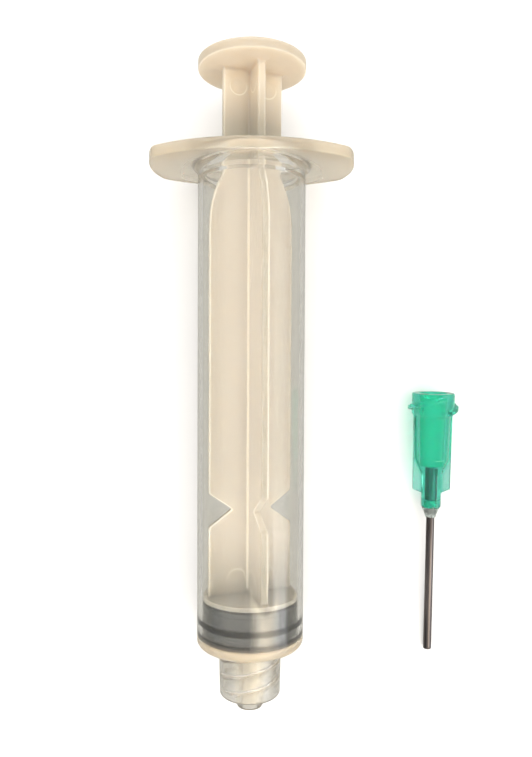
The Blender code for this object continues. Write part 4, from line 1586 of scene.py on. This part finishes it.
    def hub_skin(self) -> Skin:
        """Surface of the hub: the outlines of its outside, then the circles of its hole.

        Returns:
            The closed surface with its wing mark.
        """
        outer, inner = self.hub_section()
        at_mouth = outer[:, 1] > -self.mouth_length - self.mouth_margin
        outer = np.concatenate([
            subdivided(outer[at_mouth], self.mouth_step, Ends.POLES),
            subdivided(outer[~at_mouth], self.fine_step, Ends.POLES),
        ])
        inner = subdivided(inner, self.step, Ends.POLES)
        outline = self.hub_outline(outer[:, :1], outer[:, 1:2])
        columns = outline.shape[1]
        even = even_angles(columns) - (self.tip_columns - 1) / 2.0 * (FULL_TURN / columns)
        rings = np.concatenate([outline, inner[:, :1] * np.exp(1.0j * even)])
        rows = np.concatenate([outer, inner])
        tall = np.broadcast_to(rows[:, 1:2], rings.shape)
        points = np.stack([rings.real, rings.imag, tall], axis=2)
        past = ease((np.abs(rings) - rows[:, :1]) / self.wing_pale_past)
        below = ease((-self.mouth_length - tall) / self.wing_pale_below)
        return Skin(points, Ends.LOOP, {"wing": past * below})

    def ring_skin(self, corners: list[tuple[float, float, float]], step: float) -> Skin:
        """A ring section turned about the axis.

        Args:
            corners: the section's corners, as radius, height and rounding.
            step: longest stretch between rows.

        Returns:
            The closed surface.
        """
        rows = subdivided(rounded_section(np.array(corners), Ends.LOOP), step, Ends.LOOP)
        return Skin(at_angles(rows, even_angles(self.round_columns)), Ends.LOOP)

    def tube_skin(self) -> Skin:
        """The steel tube: a ring section turned about the axis.

        Returns:
            The closed surface.
        """
        outer = self.tube_diameter / 2.0
        inner = self.tube_bore / 2.0
        top = -self.socket_depth - self.glue_gap
        sides = [(outer, top), (outer, self.tube_end), (inner, self.tube_end), (inner, top)]
        return self.ring_skin([(*corner, self.tube_round) for corner in sides], self.step)

    def epoxy_skin(self) -> Skin:
        """The epoxy: a plug in the well and a hollow-sided cone where it wets the tube.

        Returns:
            The closed surface.
        """
        tiny = self.epoxy_round
        hole_r = self.hole_radius
        skirt_r = hole_r + self.cone_skirt
        cone_r = self.cone_diameter / 2.0
        plug_r = self.well_diameter / 2.0 - self.glue_gap
        top = self.hub_end + self.well_depth - self.glue_gap
        face = self.hub_end - self.glue_gap
        end = self.hub_end - self.cone_length
        waist_r = skirt_r + (cone_r - skirt_r) * self.cone_waist
        return self.ring_skin([
            (hole_r, top, tiny),
            (plug_r, top, tiny),
            (plug_r, face, tiny),
            (cone_r, face, self.face_round),
            (waist_r, (face + end) / 2.0, self.cone_waist_round),
            (skirt_r, end, tiny),
            (hole_r, end, tiny),
        ], self.fine_step)

    def build(self) -> list[bpy.types.Object]:
        """Make the three pieces and dress them.

        Returns:
            Hub, tube and epoxy.
        """
        made = [
            (self.hub_skin(), "needle_hub_skin", self.hub_finish.material(), "hub_plastic"),
            (self.tube_skin(), "needle_tube_skin", self.tube_finish.material(), "needle_steel"),
            (self.epoxy_skin(), "needle_adhesive_skin", self.epoxy_finish.material(), "epoxy"),
        ]
        return [
            add_piece(skin.mesh(name, self.axis), material, Body.NEEDLE)
            for skin, name, material, slot in made
        ]


# Camera, floor and light.


@dataclass(frozen=True)
class Softbox:
    """A rectangular light over the table, tilted towards +X and facing the table.

    Its sides fade because it is a stack of ever narrower lights, each a little further out.
    A step holds the shares of width and length and the radiance that one light adds.
    """

    tilt: float
    along: float
    width: float
    length: float
    colour: Colour
    steps: tuple[tuple[float, float, float], ...]
    distance: float = 0.35
    gap: float = 4.0 * MM

    def build(self) -> None:
        """Make the stack: the power of each light is pi times its radiance times its area."""
        for step, (wide, long, radiance) in enumerate(self.steps):
            data = bpy.data.lights.new("softbox", "AREA")
            data.shape = "RECTANGLE"
            data.size = self.width * wide
            data.size_y = self.length * long
            data.energy = math.pi * radiance * data.size * data.size_y
            data.color = self.colour
            away = self.distance + self.gap * step
            made = show("softbox", data)
            made.location = (math.sin(self.tilt) * away, self.along, math.cos(self.tilt) * away)
            made.rotation_euler.y = self.tilt


KEY_LIGHT = Softbox(
    tilt=math.radians(33.0),
    along=-0.215,
    width=0.45,
    length=0.08,
    colour=(1.0, 0.88, 0.68),
    steps=((1.0, 1.0, 1.3), (0.8, 1.0, 1.3), (0.6, 1.0, 1.4), (0.45, 1.0, 1.6), (0.3, 1.0, 1.4)),
)

COOL_SIDE_LIGHT = Softbox(
    tilt=math.radians(64.0),
    along=-0.02,
    width=0.22,
    length=0.2,
    colour=(0.86, 0.95, 1.0),
    steps=((1.0, 1.0, 0.35), (0.7, 1.4, 0.35)),
)

SEAL_LIGHT = Softbox(
    tilt=math.radians(68.0),
    along=-0.2,
    width=0.26,
    length=0.2,
    colour=(0.95, 0.97, 1.0),
    steps=((1.0, 1.0, 0.5), (0.9, 0.85, 0.5), (0.8, 0.7, 0.5), (0.7, 0.55, 0.5), (0.6, 0.4, 0.5)),
)


@dataclass
class Studio:
    """A camera straight above, a plain pale floor and soft light from overhead.

    The image's height, the focal length and how far the view's centre lies below the image's
    are in pixels. Sky heights are the z of a direction, from -1 below to 1 overhead.
    """

    image_height: float = 757.0
    focal_pixels: float = 659.1
    centre_below: float = 4.9
    sensor: float = 36.0
    nearest: float = 1.0 * MM
    camera_place: tuple[float, float, float] = (-6.485 * MM, 0.59 * MM, 108.1 * MM)
    camera_roll: float = math.radians(0.27)
    floor_half: float = 8.0
    floor_height: float = -0.02 * MM
    horizon: Colour = (0.30, 0.32, 0.34)
    zenith: Colour = (1.0, 0.97, 0.93)
    below: Colour = (0.247, 0.241, 0.222)
    sky_strength: float = 2.55
    sky_full: float = 0.75
    sky_edge: float = 0.05
    mirror_cut: float = 0.85
    mirror_rise: Limits = (-0.6, 0.5)
    inside_lift: float = 1.35
    softboxes: tuple[Softbox, ...] = (KEY_LIGHT, COOL_SIDE_LIGHT, SEAL_LIGHT)

    def camera(self) -> bpy.types.Object:
        """Camera that looks straight down, with the focal length that the photograph has.

        Returns:
            The scene's camera.
        """
        data = bpy.data.cameras.new("camera")
        data.sensor_width = self.sensor
        data.lens = self.focal_pixels / self.image_height * self.sensor
        data.shift_y = self.centre_below / self.image_height
        data.clip_start = self.nearest
        made = show("camera", data)
        made.location = self.camera_place
        made.rotation_euler.z = self.camera_roll
        bpy.context.scene.camera = made
        return made

    def floor(self) -> bpy.types.Object:
        """Square floor just below the pieces, left out of what the plastic mirrors and lets through.

        Returns:
            The floor.
        """
        half = self.floor_half
        corners = [(-half, -half), (half, -half), (half, half), (-half, half)]
        mesh = bpy.data.meshes.new("floor")
        mesh.from_pydata([(*corner, self.floor_height) for corner in corners], [], [(0, 1, 2, 3)])
        mesh.materials.append(FloorPaint().material())
        made = show("floor", mesh)
        made.visible_transmission = False
        made.visible_glossy = False
        return made

    def sky(self) -> bpy.types.World:
        """World that is bright overhead and grey below the horizon.

        It is dim in what smooth surfaces mirror, and brighter in the light that reaches a
        surface through clear plastic, so that the rod looks alike inside and outside the barrel.

        Returns:
            The scene's world.
        """
        shader = Shader(bpy.data.worlds.new("studio"))
        way = shader.node("ShaderNodeTexCoord", {}, {}, "Generated")
        up = shader.node("ShaderNodeSeparateXYZ", {}, {0: way}, "Z")
        facts = ("Is Glossy Ray", "Is Transmission Ray", "Diffuse Depth")
        gloss, through, scattered = (shader.node("ShaderNodeLightPath", {}, {}, fact) for fact in facts)
        above = shader.mix(shader.ramp(up, 0.0, self.sky_full), self.horizon, self.zenith)
        colour = shader.mix(shader.ramp(up, -self.sky_edge, self.sky_edge), self.below, above)
        mirrored = gloss * (1.0 - through) * shader.ramp(up, *self.mirror_rise)
        inside = through * shader.ramp(scattered, 0.0, 1.0)
        strength = self.sky_strength * (1.0 - mirrored * self.mirror_cut)
        strength = strength * (1.0 + inside * self.inside_lift)
        light = shader.node("ShaderNodeBackground", {}, {"Color": colour, "Strength": strength})
        world = shader.finish(light)
        bpy.context.scene.world = world
        return world

    def build(self) -> None:
        """Set up camera, floor and light."""
        self.camera()
        self.floor()
        self.sky()
        for softbox in self.softboxes:
            softbox.build()
        bpy.context.scene.view_settings.view_transform = "Standard"


def mount(name: str) -> tuple[Array, Array]:
    """Place and axis of one of the record's mounts."""
    found = next(given for given in frame["record"]["mounts"] if given["name"] == name)
    return np.array(found["pos_m"]), np.array(found["axis"])


def syringe_axis() -> Axis:
    """Axis of the syringe, from the middle of the nozzle's tip towards the thumb rest.

    Returns:
        The line through the thumb rest's middle, starting level with the tip.
    """
    thumb, way = mount("thumb_rest")
    tip, _ = mount("luer_tip")
    return Axis(thumb - way * ((thumb - tip) @ way), way)


def needle_axis() -> Axis:
    """Axis of the needle, from the middle of the hub's mouth; +z points out of the mouth.

    Returns:
        The line through the tube's middle, starting at the mouth.
    """
    mouth, way = mount("needle_socket_face")
    low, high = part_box("needle_tube")
    return Axis(np.array([(low.x + high.x) / 2.0, mouth[1], mouth[2]]), way)


def main() -> None:
    """Build the studio and the sub-assemblies in order."""
    logging.basicConfig(level=logging.INFO, format="%(name)s: %(message)s")
    Studio().build()
    syringe = syringe_axis()
    needle = needle_axis()
    Barrel(syringe, BarrelPlastic()).build()
    Plunger(syringe, RodPlastic()).build()
    Piston(syringe, SealRubber()).build()
    steel = NeedleSteel(lean=math.asin(needle.way[2]))
    Needle(needle, HubPlastic(), steel, ClearEpoxy()).build()


if __name__ == "__main__":
    main()
